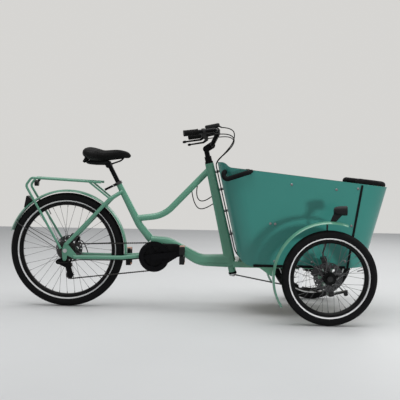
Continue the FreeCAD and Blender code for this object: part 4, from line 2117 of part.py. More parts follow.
def pedal(side):
    """Open platform round a barrel, standing on edge."""
    tip = pedal_point(side)
    start = tip + ALONG_Y * (side * (CRANK_Y + CRANK_T + SEAT))
    end = start + ALONG_Y * (side * PEDAL_W)
    middle = (start + end) * 0.5
    across = FreeCAD.Vector(1, 0, 0)
    base = middle - across * (PEDAL_T / 2)
    outline = rounded_rectangle(base, ALONG_Y, ALONG_Z, PEDAL_W, PEDAL_L, PEDAL_ROUND * 2)
    frame = Part.Face(outline).extrude(across * PEDAL_T)
    windows = []
    tall = PEDAL_L / 2 - PEDAL_WALL - PEDAL_BARREL_R
    for sign in (-1, 1):
        spot = base + ALONG_Z * (sign * (PEDAL_BARREL_R + tall / 2)) - across * OVERRUN
        hole = rounded_rectangle(spot, ALONG_Y, ALONG_Z, PEDAL_W - PEDAL_WALL * 2, tall, PEDAL_ROUND)
        windows.append(Part.Face(hole).extrude(across * (PEDAL_T + OVERRUN * 2)))
    waist = []
    for sign in (-1, 1):
        spot = middle + across * (sign * PEDAL_T * 0.62)
        waist.append(rod(spot - ALONG_Y * PEDAL_W, spot + ALONG_Y * PEDAL_W, PEDAL_T * 0.3))
    bore = rod(start - ALONG_Y * (side * OVERRUN), end + ALONG_Y * (side * OVERRUN), PEDAL_PIN_D / 2 + RUN)
    return frame.cut(group(windows + waist)).cut(bore)


# Saddle
def post_top():
    return seat_tube_path()[0] + seat_axis() * POST_OUT


def rail_z():
    return SADDLE_TOP_Z - SADDLE_H - RAIL_DROP


def seatpost():
    """Post with a cross clamp and the two saddle rails it grips."""
    top = post_top()
    bottom = seat_tube_path()[0] - seat_axis() * POST_INSERT
    post = rod(bottom, top, POST_D / 2)
    clamp_mid = at(top.x + ORIGIN_X, 0, rail_z() - RAIL_D / 2 - RUN)
    clamp = rod(clamp_mid - ALONG_Y * (CLAMP_W / 2), clamp_mid + ALONG_Y * (CLAMP_W / 2), CLAMP_R)
    rails = []
    tail = SADDLE_TAIL_X + SADDLE_H * 0.7
    nose = SADDLE_TIP_X - SADDLE_H
    for side in (RIGHT, LEFT):
        y = side * RAIL_Y
        under = SADDLE_TOP_Z - SADDLE_H - RAIL_D / 2 - SEAT
        rails.append(tube([at(tail, y * 1.6, under), at(tail + SADDLE_H * 0.8, y, rail_z()),
                           at(nose - SADDLE_H, y, rail_z()),
                           at(nose, y * 0.4, under)], SADDLE_H, RAIL_D))
    body = fused([post, clamp])
    return fused([body] + rails)


SADDLE_STATION_SHARES = ((0.0, 0.62, 0.0), (0.1, 0.94, 0.2), (0.25, 1.0, 0.1), (0.45, 0.62, -0.16),
                         (0.7, 0.27, -0.04),
                         (0.92, 0.19, -0.1), (1.0, 0.13, -0.35))


def saddle():
    """Padded saddle lofted through stations: share of length, of width, and rise in shares of its height."""
    length = SADDLE_TIP_X - SADDLE_TAIL_X
    wires = []
    for along_share, width_share, rise_share in SADDLE_STATION_SHARES:
        x = SADDLE_TAIL_X + length * along_share
        half = SADDLE_W * width_share / 2
        top = SADDLE_TOP_Z + SADDLE_H * rise_share
        low = SADDLE_TOP_Z - SADDLE_H + SADDLE_H * 0.12 * max(0, along_share - 0.6)
        deep = low + (top - low) * 0.45
        left, right = at(x, -half, deep), at(x, half, deep)
        foot_left, foot_right = at(x, -half * 0.82, low), at(x, half * 0.82, low)
        edges = [Part.Arc(left, at(x, 0, top), right).toShape(),
                 Part.Arc(right, at(x, half * 0.96, (deep + low) / 2), foot_right).toShape(),
                 Part.LineSegment(foot_right, foot_left).toShape(),
                 Part.Arc(foot_left, at(x, -half * 0.96, (deep + low) / 2), left).toShape()]
        wires.append(Part.Wire(edges))
    return Part.makeLoft(wires, True, False)


# Cables
def cable(points):
    """Cable through points, each bend as wide as its runs allow."""
    widest = max((second - first).Length for first, second in zip(points, points[1:]))
    return tube(points, widest * 2, CABLE_D)


def gap_point(z, y):
    """Point midway between the column's front face and the box's rear wall."""
    front = column_front(z).x + ORIGIN_X
    return at((front + box_rear_x(z)) / 2, y, z)


def down_the_gap(y):
    """Cable points down the gap to the level of the floor's under side."""
    return [gap_point(CABLE_TOP_Z, y), gap_point(under_floor(), y)]


def under_floor():
    """Height of a cable clipped under the floor."""
    return BOX_BOTTOM_Z + WALL - CABLE_D / 2


def hose_turn(side):
    """Place under the floor where a front brake hose leaves for its wheel."""
    return at(HOSE_OUT_X, side * HOSE_OUT_Y, BOX_BOTTOM_Z - EDGING_T - CABLE_D * 3)


def frame_cables():
    """Cables held along the frame: column gap, under the floor, and along the chain stays."""
    made = []
    low = under_floor()
    below_bearer = BOX_BOTTOM_Z + WALL - BEARER_H - CABLE_D
    clear_of_bearer = BEARER_W * 0.75
    heel_bend = BOX_HEEL_R - CABLE_D
    for side in (RIGHT, LEFT):
        y = side * GAP_CABLE_Y
        out = HOSE_OUT_X - HANGER_L
        points = down_the_gap(y) + [at(out, y, low)]
        points.append(at(out + HANGER_L / 2, side * (BEARER_Y - clear_of_bearer), below_bearer))
        points.append(at(HOSE_OUT_X, side * (BEARER_Y + clear_of_bearer), below_bearer))
        made.append(tube(points + [hose_turn(side)], heel_bend, CABLE_D))
    points = down_the_gap(DISPLAY_CABLE_Y) + [at(BATTERY_X + BATTERY_L, DISPLAY_CABLE_Y, low)]
    made.append(tube(points, heel_bend, CABLE_D))
    for side, tail in ((RIGHT, SHIFT_TAIL), (LEFT, BRAKE_TAIL)):
        under = REAR_R - CHAIN_STAY_DROP - CHAIN_STAY_D / 2 - CABLE_D / 2 - SEAT * 3
        root = at(BB_X - MOTOR_R - MOUNT_WALL, side * CHAIN_STAY_ROOT_Y,
                  BB_Z - CHAIN_STAY_D / 2 - CABLE_D / 2 - SEAT)
        made.append(cable([root, at(CHAIN_STAY_WAIST_X, side * CHAIN_STAY_WAIST_Y, under)]
                          + [at(x, y, REAR_R + rise) for x, y, rise in tail]))
    return group(made)


def flex_cables():
    """Free cables: bar to column gap, frame to the front calipers, and loops behind the column."""
    made = []
    for side in (RIGHT, LEFT):
        pivot, way, up = lever_frame(side)[:3]
        start = pivot - way * (LEVER_LUG_R * 1.2) + up * (LEVER_LUG_R * 0.8)
        route = [at(x, side * y, z) for x, y, z in BAR_ROUTE]
        made.append(cable([start] + route
                          + [gap_point(BOX_REAR_TOP_Z, side * GAP_CABLE_Y),
                             gap_point(CABLE_TOP_Z, side * GAP_CABLE_Y)]))
        angle = math.radians(CALIPER_ANGLE)
        end = front_centre(side) + FreeCAD.Vector(CALIPER_R * math.cos(angle), 0,
                                                  CALIPER_R * math.sin(angle))
        end.y = side * (KING_Y + UPRIGHT_Y - UPRIGHT_T / 2 - CABLE_D * 0.2)
        start = hose_turn(side) + ALONG_Y * (side * CABLE_D * 0.6)
        made.append(cable([start, end - ALONG_Y * (side * HANGER_L) - ALONG_Z * (CABLE_D * 3), end]))
    made.append(cable([at(x, y, z) for x, y, z in DISPLAY_ROUTE]
                      + [gap_point(BOX_REAR_TOP_Z, DISPLAY_CABLE_Y),
                         gap_point(CABLE_TOP_Z, DISPLAY_CABLE_Y)]))
    holders = group([column_body(), tube(top_tube_path(), TOP_TUBE_BEND, TOP_TUBE_D)])
    for points in REAR_LOOPS:
        made.append(cable([at(x, y, z) for x, y, z in points]).cut(holders))
    return group(made)


def export(name, shape):
    shape.exportStep("parts/" + name + ".step")


def build():
    os.makedirs("parts", exist_ok=True)
    made = {
        "head_column": head_column(), "top_tube": top_tube(), "seat_tube": seat_tube(),
        "main_beam": main_beam(), "chain_stays": chain_stays(), "seat_stays": seat_stays(),
        "motor": motor(), "headset": headset(), "rear_rack": rear_rack(), "rear_fender": rear_fender(),
        "rear_lights": rear_lights(), "rear_axle": rear_axle(), "rear_caliper": rear_caliper(),
        "derailleur": derailleur(), "chain": chain(), "box_side_right": box_side(RIGHT),
        "box_side_left": box_side(LEFT),
        "box_front": box_front(), "box_rear": box_rear(), "box_floor": box_floor(),
        "box_edging": box_edging(),
        "box_bolts": box_bolts(), "bench_board": bench_board(), "bench_cushion": bench_cushion(),
        "front_roll": front_roll(), "grab_handles": grab_handles(), "battery": battery(),
        "front_axle": front_axle(), "floor_bearers": floor_bearers(), "steering_shaft": steering_shaft(),
        "stem": stem(), "handlebar": handlebar(), "grips": group([grip(RIGHT), grip(LEFT)]),
        "bar_controls": bar_controls(), "brake_lever_right": brake_lever(RIGHT),
        "brake_lever_left": brake_lever(LEFT),
        "drag_link": drag_link(), "tie_rod": tie_rod(), "knuckle_right": knuckle(RIGHT),
        "knuckle_left": knuckle(LEFT),
        "front_fender_right": front_fender(RIGHT), "front_fender_left": front_fender(LEFT),
        "headlight_right": headlight(RIGHT), "headlight_left": headlight(LEFT),
        "front_tyre_right": tyre(front_centre(RIGHT), FRONT_SEAT_D, FRONT_TYRE_W),
        "front_wheel_right": front_wheel(RIGHT),
        "front_tyre_left": tyre(front_centre(LEFT), FRONT_SEAT_D, FRONT_TYRE_W),
        "front_wheel_left": front_wheel(LEFT),
        "rear_tyre": tyre(REAR_AXLE, REAR_SEAT_D, REAR_TYRE_W), "rear_wheel": rear_wheel(),
        "cassette": cassette(),
        "crankset": crankset(), "chainring": chainring(), "pedal_right": pedal(RIGHT),
        "pedal_left": pedal(LEFT),
        "seatpost": seatpost(), "saddle": saddle(), "quick_release": quick_release(),
        "frame_cables": frame_cables(), "flex_cables": flex_cables(),
    }
    for name, shape in made.items():
        export(name, shape)


build()
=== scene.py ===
import math
from collections import namedtuple
import bpy
import numpy as np
from mathutils import Matrix, Vector


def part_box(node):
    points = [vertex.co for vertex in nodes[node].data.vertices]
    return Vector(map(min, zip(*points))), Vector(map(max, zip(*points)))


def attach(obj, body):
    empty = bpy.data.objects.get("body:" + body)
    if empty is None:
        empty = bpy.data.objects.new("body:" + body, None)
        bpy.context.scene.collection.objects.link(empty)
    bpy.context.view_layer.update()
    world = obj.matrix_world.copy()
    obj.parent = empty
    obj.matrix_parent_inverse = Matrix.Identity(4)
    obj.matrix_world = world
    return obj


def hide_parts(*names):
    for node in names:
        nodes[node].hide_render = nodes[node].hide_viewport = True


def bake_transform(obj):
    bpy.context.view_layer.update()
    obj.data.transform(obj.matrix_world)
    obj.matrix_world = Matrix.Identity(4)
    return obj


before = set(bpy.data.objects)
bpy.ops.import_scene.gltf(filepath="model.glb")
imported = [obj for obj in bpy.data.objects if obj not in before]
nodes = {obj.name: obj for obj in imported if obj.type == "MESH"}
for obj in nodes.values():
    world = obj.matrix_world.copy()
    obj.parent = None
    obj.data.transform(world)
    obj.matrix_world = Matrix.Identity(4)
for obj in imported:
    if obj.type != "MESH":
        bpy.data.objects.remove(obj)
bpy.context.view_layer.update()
scene = bpy.context.scene
scene.view_settings.view_transform = "Standard"

# Millimetre sizes of the tricycle, X from the rear axle
FRONT_END, REAR_FENDER_R, FENDER_TAIL = 1860.0, 357.0, math.radians(18.0)
ORIGIN_X = (FRONT_END - REAR_FENDER_R * math.cos(FENDER_TAIL)) / 2
LEAN = math.radians(13.0)
REAR_R, FRONT_R = 337.5, 257.0
WHEELBASE, HALF_TRACK = 1497.0, 430.0
BOX_W, WALL = 520.0, 9.0
COLUMN_FOOT_X, COLUMN_FOOT_Z = 966.0, 300.0
COLUMN_HALF, BOX_GAP = 33.0, 18.0

# Ends of the box's top edge as X and Z, and of the column's taper as Z and depth
SHOULDER, FRONT_RIM = (975.0, 838.0), (1857.0, 742.0)
TAPER_LOW, TAPER_HIGH = (262.0, 66.0), (862.0, 50.0)


def at(x, y, z):
    """Row-frame point in metres from millimetres ahead of the rear axle."""
    return np.array(((x - ORIGIN_X) / 1000, y / 1000, z / 1000))


def from_axle_mm(points):
    """Row-frame points in metres from rows of millimetres ahead of the rear axle."""
    return (points - (ORIGIN_X, 0.0, 0.0)) / 1000


def unit(vector):
    """The vector at length 1."""
    return vector / np.linalg.norm(vector)


def sloped(value, start, end):
    """Second number at value on the straight line through two pairs of numbers."""
    return start[1] + (end[1] - start[1]) * (value - start[0]) / (end[0] - start[0])


def steer_x(z):
    """Steering axis at height z, leaning back from the column's foot."""
    return COLUMN_FOOT_X - (z - COLUMN_FOOT_Z) * math.tan(LEAN)


def box_rear_x(z):
    """Rear face of the box, parallel to the column."""
    return steer_x(z) + COLUMN_HALF / math.cos(LEAN) + BOX_GAP


def box_top_z(x):
    """Sloping top edge of the box from its shoulder to its front."""
    return sloped(x, SHOULDER, FRONT_RIM)


def gap_point(z, y):
    """Point midway in the gap between the column and the box."""
    column = steer_x(z) + math.cos(LEAN) * sloped(z, TAPER_LOW, TAPER_HIGH) / 2
    return at((column + box_rear_x(z)) / 2, y, z)


# Camera and light
VIEW_PLACE = (0.168664, -4.5924, 0.8569)
VIEW_TURNS = (-1.793, 2.644, 0.9)
VIEW_LENS, VIEW_SENSOR, VIEW_END = 70.0, 36.0, 60.0


def add_camera():
    """Camera at its place, turned by yaw, pitch and roll in degrees."""
    yaw, pitch, roll = (math.radians(angle) for angle in VIEW_TURNS)
    ahead = Vector((math.sin(yaw) * math.cos(pitch), math.cos(yaw) * math.cos(pitch), -math.sin(pitch)))
    right = Vector((math.cos(yaw), -math.sin(yaw), 0.0))
    up = right.cross(ahead)
    side = right * math.cos(roll) + up * math.sin(roll)
    top = up * math.cos(roll) - right * math.sin(roll)
    data = bpy.data.cameras.new("view")
    data.lens = VIEW_LENS
    data.sensor_width = VIEW_SENSOR
    data.clip_end = VIEW_END
    cam = bpy.data.objects.new("view", data)
    turned = Matrix((side, top, -ahead)).transposed().to_4x4()
    cam.matrix_world = Matrix.Translation(VIEW_PLACE) @ turned
    scene.collection.objects.link(cam)
    scene.camera = cam


def add_area(name, place, target, size, watts):
    """Rectangular lamp at a place, aimed at a target."""
    data = bpy.data.lights.new(name, "AREA")
    data.shape = "RECTANGLE"
    data.size, data.size_y = size
    data.energy = watts
    lamp = bpy.data.objects.new(name, data)
    lamp.location = place
    lamp.rotation_euler = (Vector(target) - Vector(place)).to_track_quat("-Z", "Y").to_euler()
    scene.collection.objects.link(lamp)
    return lamp


def add_lamps():
    """Broad ceiling light, two fills, and a narrow low beam that casts the fender's shadow on the box."""
    add_area("ceiling", place=(0.2, -0.3, 4.4), target=(0.1, 0.1, 0.3), size=(6.0, 4.4), watts=210.0)
    add_area("front_fill", place=(-1.6, -4.6, 2.6), target=(0.0, 0.0, 0.5), size=(3.0, 2.4), watts=6.0)
    low = add_area("low_side", place=(2.52, -2.9, 0.3), target=(0.7, -0.3, 0.5), size=(0.4, 0.3), watts=4.0)
    low.data.spread = math.radians(50.0)
    low.visible_glossy = low.visible_camera = False
    add_area("far_fill", place=(2.4, 3.6, 3.0), target=(0.2, 0.0, 0.5), size=(3.0, 2.4), watts=45.0)


add_camera()
add_lamps()


# Materials
class Line:
    """One shader socket that takes part in sums."""

    def __init__(self, graph, socket):
        self.graph = graph
        self.socket = socket

    def calc(self, operation, other=0.0, swap=False):
        """Result of a Math node on this socket and another value, in either order."""
        pair = {0: other, 1: self} if swap else {0: self, 1: other}
        return self.graph.node("Math", {"operation": operation}, pair)

    def __add__(self, other):
        return self.calc("ADD", other)

    def __radd__(self, other):
        return self.calc("ADD", other, True)

    def __sub__(self, other):
        return self.calc("SUBTRACT", other)

    def __rsub__(self, other):
        return self.calc("SUBTRACT", other, True)

    def __mul__(self, other):
        return self.calc("MULTIPLY", other)

    def __rmul__(self, other):
        return self.calc("MULTIPLY", other, True)

    def __abs__(self):
        return self.calc("ABSOLUTE")


class Graph:
    """Node tree of a material or of the world."""

    def __init__(self, tree):
        self.tree = tree

    def node(self, kind, settings, inputs, out=0):
        """New node with its settings and inputs; gives the output asked for, if it has any."""
        made = self.tree.nodes.new("ShaderNode" + kind)
        for key, value in settings.items():
            setattr(made, key, value)
        for key, value in inputs.items():
            self.feed(made.inputs[key], value)
        return Line(self, made.outputs[out]) if made.outputs else None

    def feed(self, socket, value):
        """Link a line to a socket, or set a constant on it."""
        if isinstance(value, Line):
            self.tree.links.new(value.socket, socket)
        else:
            socket.default_value = value


class Finish(Graph):
    """Node graph of one material, with the steps that its looks share."""

    def __init__(self, name):
        self.material = bpy.data.materials.new(name)
        self.material.use_nodes = True
        super().__init__(self.material.node_tree)
        self.shader = self.tree.nodes["Principled BSDF"]

    def place(self):
        """Place on the object."""
        return self.node("TexCoord", {}, {}, "Object")

    def axes(self, source="Object"):
        """X, Y and Z of the object place or of the surface normal."""
        split = self.node("SeparateXYZ", {}, {0: self.node("TexCoord", {}, {}, source)})
        return [Line(self, split.socket.node.outputs[i]) for i in range(3)]

    def noise(self, scale, detail, stretch=None):
        """Noise between 0 and 1, drawn out along an axis where stretch is small."""
        vector = self.place()
        if stretch:
            vector = self.node("Mapping", {}, {"Vector": vector, "Scale": stretch})
        return self.node("TexNoise", {}, {"Vector": vector, "Scale": scale, "Detail": detail}, "Fac")

    def ramp(self, value, low, high):
        """0 below low, 1 above high, smooth between; low above high turns it round."""
        if low > high:
            return 1.0 - self.ramp(value, high, low)
        return self.node("MapRange", {"interpolation_type": "SMOOTHSTEP"},
                         {"Value": value, "From Min": low, "From Max": high, "To Min": 0.0, "To Max": 1.0})

    def prisms(self, scale):
        """Cells of a reflector or lens."""
        cells = self.node("TexVoronoi", {}, {"Vector": self.place(), "Scale": scale}, "Distance")
        return self.ramp(cells, 0.1, 0.6)

    def blend(self, factor, first, second):
        """Colour from first at 0 to second at 1, through the Mix node's colour sockets."""
        pair = [colour if isinstance(colour, Line) else (*colour, 1.0) for colour in (first, second)]
        return self.node("Mix", {"data_type": "RGBA"}, {0: factor, 6: pair[0], 7: pair[1]}, 2)

    def bump(self, height, distance, strength):
        """Surface relief from a height."""
        inputs = {"Strength": strength, "Distance": distance, "Height": height}
        self.set("Normal", self.node("Bump", {}, inputs, "Normal"))

    def set(self, name, value):
        """Feed one input of the shader; a plain colour gets its fourth number."""
        if isinstance(value, tuple):
            value = (*value, 1.0)
        self.feed(self.shader.inputs[name], value)

    def gloss(self, coat):
        """Clear coat with orange peel."""
        self.set("Coat Weight", coat)
        self.set("Coat Roughness", 0.12)
        self.set("Specular IOR Level", 0.3)
        self.bump(self.noise(420.0, 1.0), 0.0004, 0.12)


CASE_BLACKS = (0.005, 0.005, 0.0055), (0.012, 0.012, 0.013)
STAY_BLACK = (0.006, 0.006, 0.0065)
COLLAR_BLACK = (0.014, 0.014, 0.015)
PLY_EDGES = (0.5, 0.31, 0.14), (0.68, 0.47, 0.25)


def from_centre(f, centre):
    """X, Y and Z from the middle of a wheel."""
    return [line - place for line, place in zip(f.axes(), centre)]


def span(dx, dz):
    """Radius from an axle along Y."""
    return (dx * dx + dz * dz).calc("SQRT")


def paint(name, colour, dark, coat=0.18, edge=False, stays=None):
    """Gloss coat with soft mottling, orange peel and a little grime low down.

    edge shows plywood on upward faces; stays blackens what lies within a radius of a wheel's axle."""
    f = Finish(name)
    z = f.axes()[2]
    mottle = f.noise(7.0, 4.0)
    grime = f.ramp(z, 0.42, 0.1) * f.ramp(f.noise(40.0, 5.0), 0.42, 0.75)
    shade = f.blend(mottle * 0.5 + grime * 0.35, colour, dark)
    rough = 0.24 + f.noise(60.0, 2.0) * 0.14 + grime * 0.25
    if stays:
        centre, inner = stays
        dx, _, dz = from_centre(f, centre)
        wire = f.ramp(span(dx, dz), inner, inner - 0.001)
        shade = f.blend(wire, shade, STAY_BLACK)
    if edge:
        nz = f.axes("Normal")[2]
        top = f.ramp(nz, 0.3, 0.5) * f.ramp(z, 0.7, 0.705)
        waves = {"Vector": f.place(), "Scale": 90.0, "Distortion": 0.6}
        plies = f.ramp(f.node("TexWave", {"bands_direction": "Y"}, waves, "Fac"), 0.3, 0.7)
        shade = f.blend(top, shade, f.blend(plies, *PLY_EDGES))
        rough = rough + top * 0.3
    f.set("Base Color", shade)
    f.set("Roughness", rough)
    f.gloss(coat)
    return f.material


def metal(name, colour, rough, sheen=0.5):
    """Bare or anodised metal with fine brushed streaks and handling marks."""
    f = Finish(name)
    streak = f.noise(500.0, 2.0, (0.15, 1.0, 1.0))
    marks = f.ramp(f.noise(35.0, 5.0), 0.5, 0.8)
    f.set("Base Color", f.blend(marks * 0.35, colour, tuple(c * 0.6 for c in colour)))
    f.set("Metallic", 0.9)
    f.set("Roughness", rough + streak * 0.16 + marks * 0.1)
    f.set("Specular IOR Level", sheen)
    f.bump(streak, 0.0002, 0.15)
    return f.material


def plain(name, colour, rough, grain, depth):
    """Moulded plastic, rubber or foam skin with a fine grain."""
    f = Finish(name)
    fine = f.noise(grain, 3.0)
    wear = f.ramp(f.noise(18.0, 4.0), 0.45, 0.75)
    f.set("Base Color", f.blend(wear * 0.6, colour, tuple(c * 1.7 + 0.001 for c in colour)))
    f.set("Roughness", rough + fine * 0.12 - wear * 0.08)
    f.set("Specular IOR Level", 0.1)
    f.bump(fine, depth, 0.4)
    return f.material


def tyre(name, centre, ring, crown):
    """Black tyre: silver ring and fine ribs on the sidewall, road dust towards the crown."""
    f = Finish(name)
    dx, _, dz = from_centre(f, centre)
    radius, turn = span(dx, dz), dz.calc("ARCTAN2", dx)
    band = f.ramp(radius, ring - 0.0062, ring - 0.0055) * f.ramp(radius, ring + 0.0062, ring + 0.0055)
    dust = f.ramp(f.noise(30.0, 5.0), 0.45, 0.8) * f.ramp(radius, crown - 0.03, crown - 0.005)
    rubber = f.blend(dust * 0.5, (0.004, 0.004, 0.0045), (0.02, 0.0195, 0.018))
    beads = 0.75 + (turn * 420.0).calc("SINE") * 0.12
    silver = f.blend(beads, (0.45, 0.45, 0.45), (0.86, 0.86, 0.86))
    f.set("Base Color", f.blend(band, rubber, silver))
    f.set("Roughness", 0.72 - band * 0.35)
    f.set("Specular IOR Level", 0.12)
    ribs = (radius * 2600.0).calc("SINE")
    wall = f.ramp(radius, crown - 0.013, crown - 0.016) * (1.0 - band)
    f.bump(wall * ribs * 0.25 + f.noise(500.0, 2.0) * 0.3, 0.0006, 0.6)
    return f.material


def wheel(name, centre, seat, rotor_y, reflector):
    """Wheel by zones: black rim and hub, steel spokes and disc, white spoke reflector."""
    f = Finish(name)
    dx, across, dz = from_centre(f, centre)
    radius = span(dx, dz)
    rim = f.ramp(radius, seat - 0.0165, seat - 0.0155)
    hub = f.ramp(radius, 0.0366, 0.0356)
    disc = f.ramp(abs(across - rotor_y), 0.0016, 0.0012) * f.ramp(radius, 0.02, 0.021)
    track = f.ramp((radius * 5200.0).calc("SINE"), -0.4, 0.6)
    spoke = f.blend(f.noise(200.0, 2.0), (0.1, 0.1, 0.103), (0.2, 0.2, 0.205))
    worn = f.ramp(f.noise(50.0, 4.0), 0.4, 0.8)
    black = f.blend(worn, (0.003, 0.003, 0.0032), (0.009, 0.009, 0.0095))
    nose = f.ramp(radius, 0.0125, 0.0115)
    shade = f.blend(rim, spoke, black)
    shade = f.blend(hub * (1.0 - nose), shade, black)
    shade = f.blend(disc, shade, f.blend(track, (0.045, 0.045, 0.047), (0.1, 0.1, 0.104)))
    shine = 1.0 - rim * 0.85 - hub * 0.6
    rough = 0.3 + f.noise(90.0, 2.0) * 0.15
    if reflector:
        plate = f.ramp(abs(dx + 0.152), 0.0116, 0.0106) * f.ramp(abs(across), 0.0058, 0.0048)
        plate = plate * f.ramp(abs(dz), 0.0535, 0.0525)
        shade = f.blend(plate, shade, f.blend(f.prisms(260.0), (0.9, 0.9, 0.9), (0.7, 0.71, 0.72)))
        shine = shine * (1.0 - plate)
    f.set("Base Color", shade)
    f.set("Metallic", shine)
    f.set("Roughness", rough)
    f.set("Specular IOR Level", 0.15)
    f.bump(track * disc + f.noise(600.0, 1.0) * 0.3, 0.0002, 0.2)
    return f.material


def ply(name):
    """Lacquered plywood: long grain lines and soft blotches."""
    f = Finish(name)
    grain = f.noise(40.0, 6.0, (0.12, 1.0, 1.0))
    blotch = f.noise(5.0, 3.0)
    f.set("Base Color", f.blend(grain * 0.8 + blotch * 0.2, (0.42, 0.27, 0.13), (0.66, 0.48, 0.28)))
    f.set("Roughness", 0.42 + grain * 0.12)
    f.bump(grain, 0.0003, 0.25)
    return f.material


def lamp_finish(name, lens_x):
    """Gloss black case with a pale ribbed lens at the front."""
    f = Finish(name)
    x, y = f.axes()[:2]
    nx = f.axes("Normal")[0]
    lens = f.ramp(x, lens_x - 0.0045, lens_x - 0.0035) * f.ramp(nx, 0.5, 0.8)
    ribs = (y * 2400.0).calc("SINE")
    case = f.blend(f.noise(25.0, 4.0), *CASE_BLACKS)
    glass = f.blend(ribs * 0.5 + 0.5, (0.62, 0.66, 0.68), (0.85, 0.87, 0.88))
    f.set("Base Color", f.blend(lens, case, glass))
    f.set("Roughness", 0.4 - lens * 0.28 + f.noise(80.0, 2.0) * 0.08)
    f.set("Specular IOR Level", 0.15)
    f.bump(lens * ribs + f.noise(500.0, 1.0) * 0.2, 0.0005, 0.3)
    return f.material


def tail_finish(name):
    """Black light bodies whose rearward faces are red prism lens."""
    f = Finish(name)
    nx = f.axes("Normal")[0]
    lens = f.ramp(nx, -0.8, -0.88)
    cells = f.prisms(330.0)
    case = f.blend(f.noise(30.0, 4.0), *CASE_BLACKS)
    f.set("Base Color", f.blend(lens, case, f.blend(cells, (0.5, 0.015, 0.012), (0.22, 0.006, 0.006))))
    f.set("Roughness", 0.4 - lens * 0.25)
    f.set("Specular IOR Level", 0.15)
    f.bump(lens * cells + f.noise(600.0, 1.0) * 0.3, 0.0005, 0.3)
    return f.material


def hide(name, colour, scale, depth):
    """Leather cover: cell grain, creases and a rubbed sheen."""
    f = Finish(name)
    cells = f.node("TexVoronoi", {"feature": "DISTANCE_TO_EDGE"}, {"Vector": f.place(), "Scale": scale},
                   "Distance")
    grain = f.ramp(cells, 0.0, 0.18)
    rub = f.ramp(f.noise(14.0, 4.0), 0.45, 0.7)
    f.set("Base Color", f.blend(rub * 0.7, colour, tuple(c * 2.0 + 0.003 for c in colour)))
    f.set("Roughness", 0.52 + grain * 0.1 - rub * 0.1)
    f.set("Specular IOR Level", 0.1)
    f.bump(grain * 0.8 + f.noise(60.0, 3.0) * 0.6, depth, 0.5)
    return f.material


def cloth(name, colour):
    """Plain weave: two crossed sets of ribs under a slight fuzz."""
    f = Finish(name)
    x, y, z = f.axes()
    weave = ((x + z) * 2600.0).calc("SINE") * ((y - z * 0.5) * 2600.0).calc("SINE")
    fade = f.ramp(f.noise(9.0, 4.0), 0.4, 0.75)
    faded = tuple(c * 2.2 + 0.003 for c in colour)
    f.set("Base Color", f.blend(fade * 0.6 + weave * 0.15, colour, faded))
    f.set("Roughness", 0.8 + weave * 0.06)
    f.set("Specular IOR Level", 0.08)
    f.bump(weave + f.noise(140.0, 3.0) * 0.8, 0.0006, 0.5)
    return f.material


def seat_tube_finish(name, colour, dark):
    """Frame paint with a black clamp collar at the top of the seat tube."""
    f = Finish(name)
    x, _, z = f.axes()
    top, knee = at(297.0, 0.0, 744.0), at(426.0, 0.0, 494.0)
    axis = unit(top - knee)
    along = (x - float(top[0])) * float(axis[0]) + (z - float(top[2])) * float(axis[2])
    collar = f.ramp(along, -0.0175, -0.0165)
    shade = f.blend(f.noise(7.0, 4.0) * 0.5, colour, dark)
    f.set("Base Color", f.blend(collar, shade, COLLAR_BLACK))
    f.set("Roughness", 0.26 + f.noise(60.0, 2.0) * 0.14 + collar * 0.1)
    f.gloss(0.6)
    return f.material


def controls_finish(name):
    """Fine-grained black with a smooth dark screen on the display's upper face."""
    f = Finish(name)
    x, y, z = f.axes()
    nz = f.axes("Normal")[2]
    middle = [float(c) for c in at(854.4, -177.0, 1071.2)]
    inside = f.ramp(abs(x - middle[0]), 0.034, 0.0335) * f.ramp(abs(y - middle[1]), 0.0245, 0.024)
    screen = inside * f.ramp(nz, 0.9, 0.95) * f.ramp(z, 1.074, 1.075)
    fine = f.noise(700.0, 3.0)
    f.set("Base Color", f.blend(screen, f.blend(fine, *CASE_BLACKS), (0.02, 0.026, 0.032)))
    f.set("Roughness", 0.55 + fine * 0.1 - screen * 0.45)
    f.set("Specular IOR Level", 0.3)
    f.bump(fine * (1.0 - screen), 0.0003, 0.4)
    return f.material


def pedal_finish(name, node):
    """Black pedal moulding with an amber reflector let into each narrow end."""
    f = Finish(name)
    _, y, z = f.axes()
    low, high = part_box(node)
    middle, half = (low + high) / 2, (high - low) / 2
    ends = f.ramp(abs(z - middle.z), half.z - 0.011, half.z - 0.0105)
    strip = ends * f.ramp(abs(y - middle.y), half.y * 0.72, half.y * 0.68)
    cells = f.prisms(420.0)
    fine = f.noise(700.0, 3.0)
    black = f.blend(fine, (0.004, 0.004, 0.0045), (0.01, 0.01, 0.011))
    f.set("Base Color", f.blend(strip, black, f.blend(cells, (0.62, 0.2, 0.03), (0.38, 0.1, 0.015))))
    f.set("Roughness", 0.5 + fine * 0.1 - strip * 0.3)
    f.set("Specular IOR Level", 0.25)
    f.bump(fine * 0.4 + strip * cells, 0.0003, 0.4)
    return f.material


